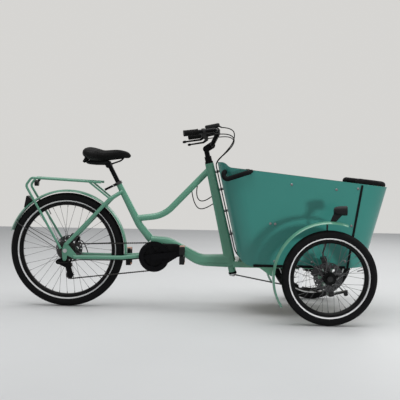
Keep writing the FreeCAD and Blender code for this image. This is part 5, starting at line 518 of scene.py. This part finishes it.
FRAME_COAT = 0.6
MINT, MINT_DARK = (0.098, 0.285, 0.192), (0.078, 0.235, 0.156)
TEAL, TEAL_DARK = (0.038, 0.21, 0.179), (0.032, 0.18, 0.153)
LENS_X = float(at(WHEELBASE + 87.0, 0.0, 0.0)[0])
looks = {
    "mint": paint("mint_paint", MINT, MINT_DARK, FRAME_COAT),
    "seat_tube": seat_tube_finish("seat_tube_paint", MINT, MINT_DARK),
    "box": paint("box_paint", TEAL, TEAL_DARK, edge=True),
    "black_paint": paint("black_paint", (0.008, 0.008, 0.0085), (0.015, 0.015, 0.015)),
    "steel": metal("bare_steel", (0.5, 0.5, 0.51), 0.26),
    "zinc": metal("zinc_plate", (0.24, 0.24, 0.245), 0.3),
    "dark_steel": metal("oiled_steel", (0.05, 0.048, 0.046), 0.32, 0.3),
    "black_alloy": metal("black_anodised", (0.008, 0.008, 0.009), 0.34, 0.15),
    "plastic": plain("black_plastic", (0.005, 0.005, 0.0055), 0.48, 700.0, 0.0003),
    "rubber": plain("grip_rubber", (0.005, 0.005, 0.005), 0.66, 900.0, 0.0004),
    "cable": plain("cable_outer", (0.005, 0.005, 0.005), 0.42, 400.0, 0.0002),
    "foam": plain("foam_sleeve", (0.006, 0.006, 0.0065), 0.78, 520.0, 0.0009),
    "leather": hide("saddle_cover", (0.004, 0.004, 0.004), 520.0, 0.0005),
    "cloth": cloth("bench_cover", (0.006, 0.006, 0.0065)),
    "thread": plain("cover_thread", (0.009, 0.009, 0.0095), 0.6, 900.0, 0.0004),
    "ply": ply("lacquered_ply"),
    "lamp": lamp_finish("headlamp", LENS_X),
    "tail": tail_finish("tail_lamps"),
    "controls": controls_finish("bar_controls"),
    "pedal_right": pedal_finish("pedal_right_moulding", "pedal_right"),
    "pedal_left": pedal_finish("pedal_left_moulding", "pedal_left"),
}

# Wheels in metres: bead seat and fender radii, tyre width, brake disc's place across, tread blocks
Wheel = namedtuple("Wheel", "key casing node body hub seat width fender rotor_y reflector blocks")
wheels = (
    Wheel("rear", "rear_tyre_casing", "rear_tyre", "wheel_rear", at(0.0, 0.0, REAR_R),
          0.2795, 0.058, 0.357, 0.05, False, 108),
    Wheel("front_right", "front_tyre_casing_right", "front_tyre_right", "wheel_r",
          at(WHEELBASE, -HALF_TRACK, FRONT_R), 0.203, 0.054, 0.305, 0.04, True, 84),
    Wheel("front_left", "front_tyre_casing_left", "front_tyre_left", "wheel_l",
          at(WHEELBASE, HALF_TRACK, FRONT_R), 0.203, 0.054, 0.305, -0.04, True, 84),
)
RING_RISE, STAY_DROP = 0.0075, 0.0133
for one in wheels:
    spot = [float(c) for c in one.hub]
    key = one.key
    looks[key + "_tyre"] = tyre(key + "_tyre_rubber", spot, one.seat + RING_RISE, one.seat + one.width)
    looks[key + "_wheel"] = wheel(key + "_wheel_metal", spot, one.seat, one.rotor_y, one.reflector)
    looks[key + "_fender"] = paint(key + "_fender_paint", MINT, MINT_DARK, FRAME_COAT,
                                   stays=(spot, one.fender - STAY_DROP))

wearing = {
    "mint": "head_column top_tube main_beam chain_stays seat_stays rear_rack front_axle floor_bearers",
    "rear_fender": "rear_fender",
    "front_right_fender": "front_fender_right",
    "front_left_fender": "front_fender_left",
    "seat_tube": "seat_tube",
    "box": "box_side_right box_side_left box_front box_rear",
    "ply": "box_floor bench_board",
    "black_paint": "drag_link tie_rod knuckle_right knuckle_left",
    "steel": "steering_shaft rear_axle",
    "zinc": "box_bolts",
    "dark_steel": "chain cassette",
    "black_alloy": "headset rear_caliper derailleur stem handlebar brake_lever_right brake_lever_left "
                   "crankset chainring seatpost quick_release",
    "plastic": "motor box_edging battery",
    "pedal_right": "pedal_right",
    "pedal_left": "pedal_left",
    "rubber": "grips",
    "controls": "bar_controls",
    "cable": "frame_cables flex_cables",
    "lamp": "headlight_right headlight_left",
    "tail": "rear_lights",
    "leather": "saddle",
    "cloth": "bench_cushion front_roll",
    "foam": "grab_handles",
    "rear_tyre": "rear_tyre",
    "rear_wheel": "rear_wheel",
    "front_right_tyre": "front_tyre_right",
    "front_right_wheel": "front_wheel_right",
    "front_left_tyre": "front_tyre_left",
    "front_left_wheel": "front_wheel_left",
}
for key, names in wearing.items():
    for name in names.split():
        nodes[name].data.materials.clear()
        nodes[name].data.materials.append(looks[key])


# Shapes
def add_mesh(name, points, faces, look, smooth=True):
    """Piece from points and faces, in one look."""
    mesh = bpy.data.meshes.new(name)
    mesh.from_pydata(points.tolist(), [], [list(f) for f in faces])
    mesh.validate()
    mesh.polygons.foreach_set("use_smooth", np.full(len(mesh.polygons), smooth))
    mesh.materials.append(looks[look])
    obj = bpy.data.objects.new(name, mesh)
    scene.collection.objects.link(obj)
    return obj


def mesh_as_shown(obj):
    """New mesh of an object as its modifiers or its curve settings show it."""
    bpy.context.view_layer.update()
    return bpy.data.meshes.new_from_object(obj.evaluated_get(bpy.context.evaluated_depsgraph_get()))


def settle(obj):
    """Turn the piece's modifiers into its mesh."""
    mesh = mesh_as_shown(obj)
    obj.modifiers.clear()
    obj.data = mesh


def add_subdivision(obj):
    """One level of subdivision."""
    fine = obj.modifiers.new("fine", "SUBSURF")
    fine.levels = fine.render_levels = 1


def grid_faces(rows, sides):
    """Faces of a closed tube of rows rings with sides points each, and its two end caps."""
    i, j = np.meshgrid(np.arange(rows - 1), np.arange(sides), indexing="ij")
    k = (j + 1) % sides
    quads = np.stack([i * sides + j, i * sides + k, (i + 1) * sides + k, (i + 1) * sides + j], -1)
    start = list(range(sides))[::-1]
    end = list(range((rows - 1) * sides, rows * sides))
    return quads.reshape(-1, 4).tolist() + [start, end]


def full_turn(count):
    """Angles of count points spread evenly round a circle."""
    return np.linspace(0.0, 2 * math.pi, count, endpoint=False)


def signed_power(value, exponent):
    """Power of the size of a number, with the number's sign."""
    return np.sign(value) * np.abs(value) ** exponent


def distances_along(path):
    """Length of a path from its start to each of its points."""
    return np.concatenate(([0.0], np.cumsum(np.linalg.norm(np.diff(path, axis=0), axis=1))))


def quarter_round(share, least):
    """sqrt(1 - (1 - share)^2) for share from 0 to 1, with the term under the root held above least."""
    return np.sqrt(np.clip(1 - np.clip(1 - share, 0, 1) ** 2, least, 1))


def rounded_ends(path, radius, share=1.0):
    """Radius along a path that closes in a half round at both ends."""
    along = distances_along(path)
    near = np.minimum(along, along[-1] - along) / (radius * share)
    return radius * quarter_round(near, 0.02)


def frames_along(path):
    """Two unit vectors square to a path at each point, turned as little as can be."""
    tangents = np.gradient(path, axis=0)
    tangents /= np.linalg.norm(tangents, axis=1)[:, None]
    first = np.cross(tangents[0], (0.0, 0.0, 1.0))
    if np.linalg.norm(first) < 0.1:
        first = np.cross(tangents[0], (0.0, 1.0, 0.0))
    sides = [unit(first)]
    for tangent in tangents[1:]:
        carried = sides[-1] - tangent * np.dot(sides[-1], tangent)
        sides.append(unit(carried))
    sides = np.array(sides)
    return sides, np.cross(tangents, sides)


def add_tube(name, path, radius, look, sides):
    """Closed round tube: path(s) + radius(s) * (side * cos a + up * sin a)."""
    across, up = frames_along(path)
    turn = full_turn(sides)[None, :, None]
    reach = np.broadcast_to(radius, len(path))[:, None, None]
    ring = across[:, None, :] * np.cos(turn) + up[:, None, :] * np.sin(turn)
    points = (path[:, None, :] + ring * reach).reshape(-1, 3)
    return add_mesh(name, points, grid_faces(len(path), sides), look)


def spline_points(route):
    """Points along the clamped quadratic NURBS spline with this route as its control points."""
    curve = bpy.data.curves.new("route", "CURVE")
    curve.dimensions = "3D"
    spline = curve.splines.new("NURBS")
    spline.points.add(len(route) - 1)
    for point, place in zip(spline.points, route):
        point.co = (*place, 1.0)
    spline.order_u = 3
    spline.use_endpoint_u = True
    spline.resolution_u = 20
    holder = bpy.data.objects.new("route", curve)
    scene.collection.objects.link(holder)
    mesh = mesh_as_shown(holder)
    path = np.empty(len(mesh.vertices) * 3)
    mesh.vertices.foreach_get("co", path)
    bpy.data.objects.remove(holder)
    bpy.data.curves.remove(curve)
    bpy.data.meshes.remove(mesh)
    return path.reshape(-1, 3)


# Tyres
# Half the tread from its middle: place across in shares of the half width, whether the round grooves cut it,
# and how deep the cross grooves cut it
TREAD_SHARES = np.array((
    (0.0, 0, 0), (0.1, 0, 0), (0.2, 0, 0), (0.24, 1, 1), (0.29, 1, 1), (0.33, 0, 1), (0.42, 0, 1),
    (0.53, 0, 1), (0.65, 0, 1), (0.76, 0, 0.2)))
BLOCK_STEPS = 8
TREAD_DEPTH, TREAD_LEAN = 0.0022, 3.2
TYRE_FOOT, TYRE_BEAD, TYRE_WALL, SEAT_GAP = 0.0127, 0.007, 0.0035, 0.0003
SHARP_EDGE = math.radians(32)


def mirrored(half):
    """The points of a half section back again, without the two on the middle line."""
    return half[-2:0:-1]


def tyre_section(seat, width):
    """Places y across, radii r and tread cuts of a closed section.

    It runs over the tread, down a wall, across inside the casing and up the other wall."""
    half, bulge, crown = width / 2, seat + TYRE_BEAD + (width - TYRE_BEAD) / 2, seat + width
    tread = np.arcsin(TREAD_SHARES[:, 0])
    upper = np.concatenate((tread, np.linspace(tread[-1], math.pi / 2, 7)[1:]))
    lower = np.linspace(0.0, math.pi / 2, 6)[1:]
    inner = half - TYRE_WALL
    inside_y = (TYRE_FOOT, TYRE_FOOT - TYRE_WALL, inner, inner * 0.7, 0.0)
    inside_r = (seat + SEAT_GAP, seat + SEAT_GAP, bulge, crown - TYRE_WALL - (crown - bulge) * 0.3,
                crown - TYRE_WALL)
    y = np.concatenate((half * np.sin(upper), TYRE_FOOT + (half - TYRE_FOOT) * np.cos(lower), inside_y))
    r = np.concatenate((bulge + (crown - bulge) * np.cos(upper),
                        bulge - (bulge - seat - TYRE_BEAD) * np.sin(lower), inside_r))
    cuts = np.zeros((len(y), 2))
    cuts[:len(tread)] = TREAD_SHARES[:, 1:]
    return (np.concatenate((y, -mirrored(y))), np.concatenate((r, mirrored(r))),
            np.concatenate((cuts, mirrored(cuts))))


def add_tyre(one):
    """Tyre on a grid of turn u and section place v: r(v) cos(u + lean |y|), y(v), r(v) sin(u + lean |y|).

    Near the crown r is lowered by the tread depth in two round grooves and in slanted cross grooves, one for
    each block."""
    y, r, cuts = tyre_section(one.seat, one.width)
    rows, sides = one.blocks * BLOCK_STEPS, len(y)
    turn = full_turn(rows)[:, None] + np.abs(y) * TREAD_LEAN / (one.seat + one.width)
    between = np.isin(np.arange(rows) % BLOCK_STEPS, (0, BLOCK_STEPS - 1))[:, None]
    reach = r - TREAD_DEPTH * np.maximum(cuts[:, 0], cuts[:, 1] * between)
    points = np.stack([reach * np.cos(turn), np.broadcast_to(y, reach.shape), reach * np.sin(turn)], -1)
    i, j = np.meshgrid(np.arange(rows), np.arange(sides), indexing="ij")
    ahead, beside = (i + 1) % rows * sides, (j + 1) % sides
    faces = np.stack([i * sides + j, i * sides + beside, ahead + beside, ahead + j], -1).reshape(-1, 4)
    piece = add_mesh(one.casing, points.reshape(-1, 3) + one.hub, faces.tolist(), one.key + "_tyre")
    piece.data.set_sharp_from_angle(angle=SHARP_EDGE)
    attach(piece, one.body)
    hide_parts(one.node)


for one in wheels:
    add_tyre(one)


# Cables
CABLE_D = 0.006
CALIPER_R, CALIPER_TURN, CALIPER_Y = 76.0, math.radians(155.0), 362.8
GAP_HIGH, GAP_LOW = 870.0, 846.0
SIDES = (-1, "right"), (1, "left")


def lever_start(side):
    """Place where a brake hose leaves its lever."""
    start, end = at(822.0, side * 266.0, 1040.0), at(699.0, side * 300.0, 1024.0)
    way = unit(end - start)
    across = unit(np.cross((0.0, 0.0, 1.0), way))
    up = unit(np.cross(way, across))
    pivot = start + way * 0.0144 - up * 0.030
    return pivot - way * 0.0096 + up * 0.0064


def into_gap(y):
    """Last two points of a route that dives into the gap behind the column."""
    return [gap_point(GAP_HIGH, y), gap_point(GAP_LOW, y)]


def add_cable(name, route, bodies):
    """Cable tube along its route's spline; with two bodies it is baked in place unattached, with one it rides
    on that body.
    """
    path = spline_points(route)
    cable = add_tube(name, path, CABLE_D / 2, "cable", 10)
    if len(bodies) == 2:
        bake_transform(cable)
    else:
        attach(cable, bodies[0])
    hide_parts("flex_cables")


def add_cables():
    """Brake hoses and caliper hoses on both sides, the display's cable, and two loops behind the column."""
    for side, word in SIDES:
        bar = [at(925.0, side * 225.0, 1034.0), at(985.0, side * 130.0, 1012.0),
               at(972.0, side * 40.0, 960.0)]
        add_cable("brake_hose_" + word, [lever_start(side)] + bar + into_gap(side * 17.0),
                  ("steering", "frame"))
        end = at(WHEELBASE + CALIPER_R * math.cos(CALIPER_TURN), side * CALIPER_Y,
                 FRONT_R + CALIPER_R * math.sin(CALIPER_TURN))
        start = at(1390.0, side * 218.6, 269.0)
        add_cable("caliper_hose_" + word, [start, end - np.array((0.0, side * 0.084, 0.018)), end],
                  ("frame", "knuckle_" + word[0]))
    display = [at(905.0, -170.0, 1066.0), at(975.0, -150.0, 1066.0), at(985.0, -60.0, 1000.0),
               at(935.0, 5.0, 930.0)]
    add_cable("display_cable", display + into_gap(10.9), ("steering", "frame"))
    upper = [at(772.0, 0.0, 745.0), at(755.0, -4.0, 671.0), at(803.0, -6.0, 622.0), at(870.0, 0.0, 680.0)]
    add_cable("column_loop_upper", upper, ("frame",))
    lower = [at(735.0, 0.0, 705.0), at(745.0, 8.0, 622.0), at(802.0, 10.0, 575.0), at(885.0, 0.0, 640.0)]
    add_cable("column_loop_lower", lower, ("frame",))


def add_plug():
    """Tapered boot that joins the display to its cable."""
    path = spline_points([at(888.0, -176.0, 1074.0), at(898.0, -172.0, 1070.0), at(907.0, -169.5, 1066.0)])
    plug = add_tube("display_plug", path, np.linspace(0.0052, 0.0036, len(path)), "cable", 14)
    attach(plug, "steering")


add_cables()
add_plug()


# Padded pieces
PAD_GRID, FILL_FRAMES = 0.005, 20
CLOTH_STIFFNESS, CLOTH_MASS = 20.0, 0.3


def fill_as_cloth(obj, cap, pressure):
    """Swell a closed mesh by pressure, with no gravity, and keep each point within cap of its start."""
    mesh = obj.data
    start = np.empty(len(mesh.vertices) * 3)
    mesh.vertices.foreach_get("co", start)
    filled = obj.modifiers.new("filled", "CLOTH")
    settings = filled.settings
    settings.use_pressure = True
    settings.uniform_pressure_force = pressure
    settings.effector_weights.gravity = 0.0
    settings.tension_stiffness = settings.compression_stiffness = CLOTH_STIFFNESS
    settings.mass = CLOTH_MASS
    filled.point_cache.frame_start, filled.point_cache.frame_end = 1, FILL_FRAMES
    for step in range(1, FILL_FRAMES + 1):
        scene.frame_set(step)
    moved = np.empty(len(start))
    swollen = obj.evaluated_get(bpy.context.evaluated_depsgraph_get()).data
    swollen.vertices.foreach_get("co", moved)
    shift = (moved - start).reshape(-1, 3)
    size = np.linalg.norm(shift, axis=1)[:, None]
    shift *= np.minimum(1.0, cap / np.maximum(size, 1e-9))
    obj.modifiers.remove(filled)
    scene.frame_set(1)
    mesh.vertices.foreach_set("co", start + shift.ravel())
    mesh.update()


def puff(obj, cap, pressure=4.0):
    """Remesh evenly, fill as cloth, then subdivide and smooth into the mesh."""
    look = obj.data.materials[0]
    remesh = obj.modifiers.new("even", "REMESH")
    remesh.mode = "VOXEL"
    remesh.voxel_size = PAD_GRID
    settle(obj)
    obj.data.materials.clear()
    obj.data.materials.append(look)
    fill_as_cloth(obj, cap, pressure)
    obj.data.polygons.foreach_set("use_smooth", np.ones(len(obj.data.polygons), bool))
    add_subdivision(obj)
    relax = obj.modifiers.new("relax", "SMOOTH")
    relax.iterations = 4
    settle(obj)


def add_seam(name, cushion, path, body, radius=0.0012):
    """Corded seam laid on a cushion's own surface along a path, then evened out."""
    laid = np.array([cushion.closest_point_on_mesh(Vector(p))[1] for p in path.tolist()])
    for _ in range(6):
        laid[1:-1] = (laid[:-2] + laid[1:-1] * 2 + laid[2:]) / 4
    seam = add_tube(name, laid, radius, "thread", 8)
    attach(seam, body)


def add_padded(obj, node, body):
    """Attach a pad to what it rides on and hide the part that it replaces."""
    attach(obj, body)
    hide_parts(node)


def superellipsoid(name, centre, half, plan_power, side_power, look):
    """x = a c(u,p) c(v,q), y = b s(u,p) c(v,q), z = h s(v,q); c, s are signed powers of cos and sin."""
    rows, sides, pole = 40, 96, 0.02
    lift = np.linspace(-math.pi / 2 + pole, math.pi / 2 - pole, rows)[:, None]
    turn = full_turn(sides)[None, :]
    ring = signed_power(np.cos(lift), side_power)
    points = np.stack([half[0] * signed_power(np.cos(turn), plan_power) * ring,
                       half[1] * signed_power(np.sin(turn), plan_power) * ring,
                       half[2] * signed_power(np.sin(lift), side_power) + 0.0 * turn], -1)
    return add_mesh(name, points.reshape(-1, 3) + centre, grid_faces(rows, sides), look)


# Saddle in millimetres, and its shares of width and rise from tail to nose
SADDLE_TAIL, SADDLE_LENGTH, SADDLE_HALF, SADDLE_TOP, SADDLE_RISE = 86.0, 290.0, 103.0, 934.0, 62.0
SADDLE_SHARES = (0.0, 0.1, 0.25, 0.45, 0.7, 0.92, 1.0)
SADDLE_WIDTHS = (0.62, 0.94, 1.0, 0.62, 0.27, 0.19, 0.13)
SADDLE_RISES = (0.0, 0.2, 0.1, -0.16, -0.04, -0.1, -0.35)
SKIRT_SHARES = (0.0, 0.08, 0.16, 0.4, 0.6, 0.85, 1.0)
SKIRT_HEIGHTS = (891.0, 887.0, 870.0, 868.0, 877.0, 887.0, 889.0)
GROOVE_DEPTH, GROOVE_HALF = 4.0, 9.0


def saddle_lines():
    """Along the saddle: share s, rounding of its ends, half width, heights of top, widest line and edge."""
    s = np.linspace(0.0, 1.0, 72)
    smooth = np.hanning(13) / np.hanning(13).sum()

    def soft(values):
        line = np.interp(s, SADDLE_SHARES, values)
        return np.convolve(np.pad(line, 6, "edge"), smooth, "valid")

    ends = quarter_round(s / 0.07, 0.04) * quarter_round((1 - s) / 0.06, 0.04)
    half = SADDLE_HALF * soft(SADDLE_WIDTHS) * ends
    top = SADDLE_TOP + SADDLE_RISE * soft(SADDLE_RISES)
    low = np.interp(s, SKIRT_SHARES, SKIRT_HEIGHTS)
    return s, ends, half, top, low + (top - low) * 0.48, low


def add_saddle():
    """Saddle: rings at x(s), each y = w(s) cos a, z from a low edge to a domed top by powers of sin a."""
    s, ends, half, top, mid, low = saddle_lines()
    along = SADDLE_TAIL + SADDLE_LENGTH * s
    turn = full_turn(56)
    c, n = np.cos(turn), np.sin(turn)
    tuck = np.where(n < 0, 1 + 0.16 * n, 1.0)[None, :]
    across = half[:, None] * signed_power(c, 0.75)[None, :] * tuck
    dome = (top - mid)[:, None] * np.abs(n) ** 0.85 * ends[:, None]
    skirt = -(mid - low)[:, None] * np.abs(n) ** 0.6 * ends[:, None]
    up = np.where(n >= 0, dome, skirt)
    groove = GROOVE_DEPTH * np.exp(-(across / GROOVE_HALF) ** 2) * np.clip(n, 0, 1)[None, :]
    groove = groove * np.clip(np.sin(s * math.pi), 0, 1)[:, None]
    points = np.stack([np.broadcast_to(along[:, None], across.shape), across, mid[:, None] + up - groove], -1)
    saddle = add_mesh("saddle_pad", from_axle_mm(points).reshape(-1, 3), grid_faces(len(s), len(turn)),
                      "leather")
    puff(saddle, 0.005)
    for side, word in SIDES:
        line = np.stack([along, side * half * 0.86, mid + (top - mid) * 0.55], -1)[4:-3]
        add_seam("saddle_seam_" + word, saddle, from_axle_mm(line), "seat")
        add_bumper("saddle_bumper_" + word, side)
        add_rail_tip("rail_tip_" + word, side)
    base = superellipsoid("saddle_base", at(SADDLE_TAIL + 96.0, 0.0, 858.0), (0.074, 0.036, 0.0155), 0.7, 0.8,
                          "plastic")
    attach(base, "seat")
    add_padded(saddle, "saddle", "seat")


def add_bumper(name, side):
    """Ribbed rubber bumper under the saddle's tail: radius 9.5 mm + 1.2 mm cos over four waves."""
    steps = 40
    path = np.linspace(at(SADDLE_TAIL + 30.0, side * 37.0, 888.0), at(SADDLE_TAIL + 13.0, side * 37.0, 856.0),
                       steps)
    ribs = 0.0095 + 0.0012 * np.cos(np.linspace(0.0, 8 * math.pi, steps))
    bumper = add_tube(name, path, np.minimum(ribs, rounded_ends(path, 0.0107, 0.5)), "rubber", 24)
    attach(bumper, "seat")


def add_rail_tip(name, side):
    """Front end of a saddle rail, bent up into the nose."""
    route = [at(300.0, side * 10.3, 865.0), at(322.0, side * 6.9, 871.0), at(334.0, side * 5.5, 893.0)]
    tip = add_tube(name, spline_points(route), 0.0039, "black_alloy", 14)
    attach(tip, "seat")


BENCH_FRONT, BENCH_Z, BENCH_MIDDLE_Z = 1205.0, 533.0, 572.3
BENCH_POWER, PIPING_LIFT = 0.22, 0.013


def add_bench():
    """Bench cushion with a row of piping round its upper and lower edges."""
    back = box_rear_x(BENCH_Z) + WALL + 10.0
    middle = at((back + BENCH_FRONT) / 2, 0.0, BENCH_MIDDLE_Z)
    half = ((BENCH_FRONT - back) / 2000, 0.191, 0.0238)
    cushion = superellipsoid("bench_pad", middle, half, BENCH_POWER, 0.5, "cloth")
    puff(cushion, 0.006)
    turn = np.linspace(0.0, 2 * math.pi, 181)
    loop = np.stack([half[0] * signed_power(np.cos(turn), BENCH_POWER),
                     half[1] * signed_power(np.sin(turn), BENCH_POWER), np.zeros(len(turn))], -1)
    for lift, word in ((PIPING_LIFT, "upper"), (-PIPING_LIFT, "lower")):
        path = middle + loop * (0.995, 0.995, 1.0) + (0.0, 0.0, lift)
        add_seam("bench_piping_" + word, cushion, path, "frame", 0.0022)
    add_padded(cushion, "bench_cushion", "frame")


def bent_line(points, bend, step=0.004):
    """Centre line of a padded tube: straight runs with a round corner of one radius at each inner point."""
    made = [points[0]]
    for before, corner, after in zip(points, points[1:], points[2:]):
        back, ahead = unit(before - corner), unit(after - corner)
        half_turn = (math.pi - math.acos(np.clip(np.dot(back, ahead), -1, 1))) / 2
        reach = min(bend * math.tan(half_turn), np.linalg.norm(before - corner) * 0.95,
                    np.linalg.norm(after - corner) * 0.49)
        radius = reach / math.tan(half_turn)
        centre = corner + unit(back + ahead) * radius / math.cos(half_turn)
        first, second = corner + back * reach - centre, corner + ahead * reach - centre
        share = np.linspace(0.0, 1.0, 16)[:, None]
        swing = 2 * half_turn
        arc = first * np.sin((1 - share) * swing) + second * np.sin(share * swing)
        made.extend(centre + arc / math.sin(swing))
    made.append(points[-1])
    made = np.array(made)
    along = distances_along(made)
    even = np.linspace(0.0, along[-1], max(8, int(along[-1] / step)))
    return np.stack([np.interp(even, along, made[:, i]) for i in range(3)], -1)


ROLL_R, ROLL_RISE, ROLL_START, NOSE_R = 20.5, 8.0, 1655.0, 165.0


def add_roll():
    """Padded roll round the front rim, its bottom resting inside the wall."""
    inset = WALL + 0.3 + math.sqrt(ROLL_R ** 2 - ROLL_RISE ** 2)
    half, reach = BOX_W / 2 - inset, FRONT_RIM[0] - inset
    corners = ((ROLL_START, -half), (reach, -half), (reach, half), (ROLL_START, half))
    plan = bent_line([at(x, y, 0.0) for x, y in corners], (NOSE_R - inset) / 1000)
    ahead = plan[:, 0] * 1000 + ORIGIN_X
    path = np.stack([plan[:, 0], plan[:, 1], (box_top_z(ahead) + ROLL_RISE) / 1000], -1)
    along = np.linspace(0.0, 1.0, len(path))
    gathers = 1 - 0.035 * np.exp(-((along * 7 % 1 - 0.5) / 0.09) ** 2)
    roll = add_tube("front_roll_pad", path, rounded_ends(path, ROLL_R / 1000) * gathers, "cloth", 32)
    puff(roll, 0.004, 3.0)
    add_seam("front_roll_seam", roll, path[3:-3] + (0.0, 0.0, 0.03), "frame")
    add_padded(roll, "front_roll", "frame")


REAR_CORNER_R = 120.0
HANDLE_REAR_X, HANDLE_FRONT_X, HANDLE_Z = 922.0, 1088.0, 824.0
SLEEVE_R, HANDLE_GAP = 13.5, 24.0
BARE_END, THIN_R, SLEEVE_EXTRA, SLEEVE_TAPER = 0.012, 0.0095, 0.004, 0.006


def add_handles():
    """Foam sleeves on the two bent grab handles, thinner where the bare ends meet the box."""
    rear_reach = box_rear_x(HANDLE_Z) + REAR_CORNER_R - HANDLE_REAR_X
    rear_y = BOX_W / 2 - REAR_CORNER_R + math.sqrt(REAR_CORNER_R ** 2 - rear_reach ** 2)
    stand, side_y = HANDLE_GAP + SLEEVE_R, BOX_W / 2
    for side, word in SIDES:
        points = [at(HANDLE_REAR_X + stand * 0.5, side * (rear_y - WALL), HANDLE_Z),
                  at(HANDLE_REAR_X, side * (rear_y + stand), HANDLE_Z - SLEEVE_R),
                  at(HANDLE_REAR_X, side * (rear_y + stand + SLEEVE_R), 768.0),
                  at(HANDLE_FRONT_X - stand, side * (side_y + stand), 812.0),
                  at(HANDLE_FRONT_X, side * (side_y - WALL), 825.5)]
        path = bent_line(points, 0.026, 0.003)
        along = distances_along(path)
        kept = (along > BARE_END) & (along < along[-1] - BARE_END)
        path, along = path[kept], along[kept] - BARE_END
        near = np.minimum(along, along[-1] - along)
        radius = THIN_R + SLEEVE_EXTRA * np.clip((near - BARE_END) / SLEEVE_TAPER, 0, 1)
        sleeve = add_tube("grab_sleeve_" + word, path, radius, "foam", 28)
        add_subdivision(sleeve)
        settle(sleeve)
        add_padded(sleeve, "grab_handles", "frame")


add_saddle()
add_bench()
add_roll()
add_handles()


# Floor and background
FLOOR_SIDE, FLOOR_NEAR, FLOOR_FAR = 12.0, -12.0, 5.5
SKY_LIGHT, SKY_STRENGTH = (0.93, 0.96, 1.0, 1.0), 0.3
WALL_COLOUR = (0.675, 0.667, 0.648, 1.0)


def add_floor():
    """Flat studio floor that ends at the wall."""
    points = np.array([(-FLOOR_SIDE, FLOOR_NEAR, 0.0), (FLOOR_SIDE, FLOOR_NEAR, 0.0),
                       (FLOOR_SIDE, FLOOR_FAR, 0.0), (-FLOOR_SIDE, FLOOR_FAR, 0.0)])
    f = Finish("studio_floor")
    f.set("Base Color", f.blend(f.noise(1.2, 3.0), (0.6, 0.605, 0.605), (0.65, 0.655, 0.655)))
    f.set("Roughness", 0.6 + f.noise(30.0, 2.0) * 0.1)
    looks["floor"] = f.material
    floor = add_mesh("studio_floor", points, [(0, 1, 2, 3)], "floor", False)


def add_background():
    """World that shows a plain wall to the eye and to reflections, and lights the rest softly."""
    world = bpy.data.worlds.new("studio")
    world.use_nodes = True
    scene.world = world
    studio = Graph(world.node_tree)
    studio.tree.nodes.clear()
    rays = [studio.node("LightPath", {}, {}, "Is %s Ray" % kind)
            for kind in ("Camera", "Glossy", "Transmission")]
    seen = rays[0].calc("MAXIMUM", rays[1]).calc("MAXIMUM", rays[2])
    light = studio.node("Background", {}, {"Color": SKY_LIGHT, "Strength": SKY_STRENGTH})
    shown = studio.node("Background", {}, {"Color": WALL_COLOUR})
    mixed = studio.node("MixShader", {}, {0: seen, 1: light, 2: shown})
    studio.node("OutputWorld", {}, {"Surface": mixed})


add_floor()
add_background()
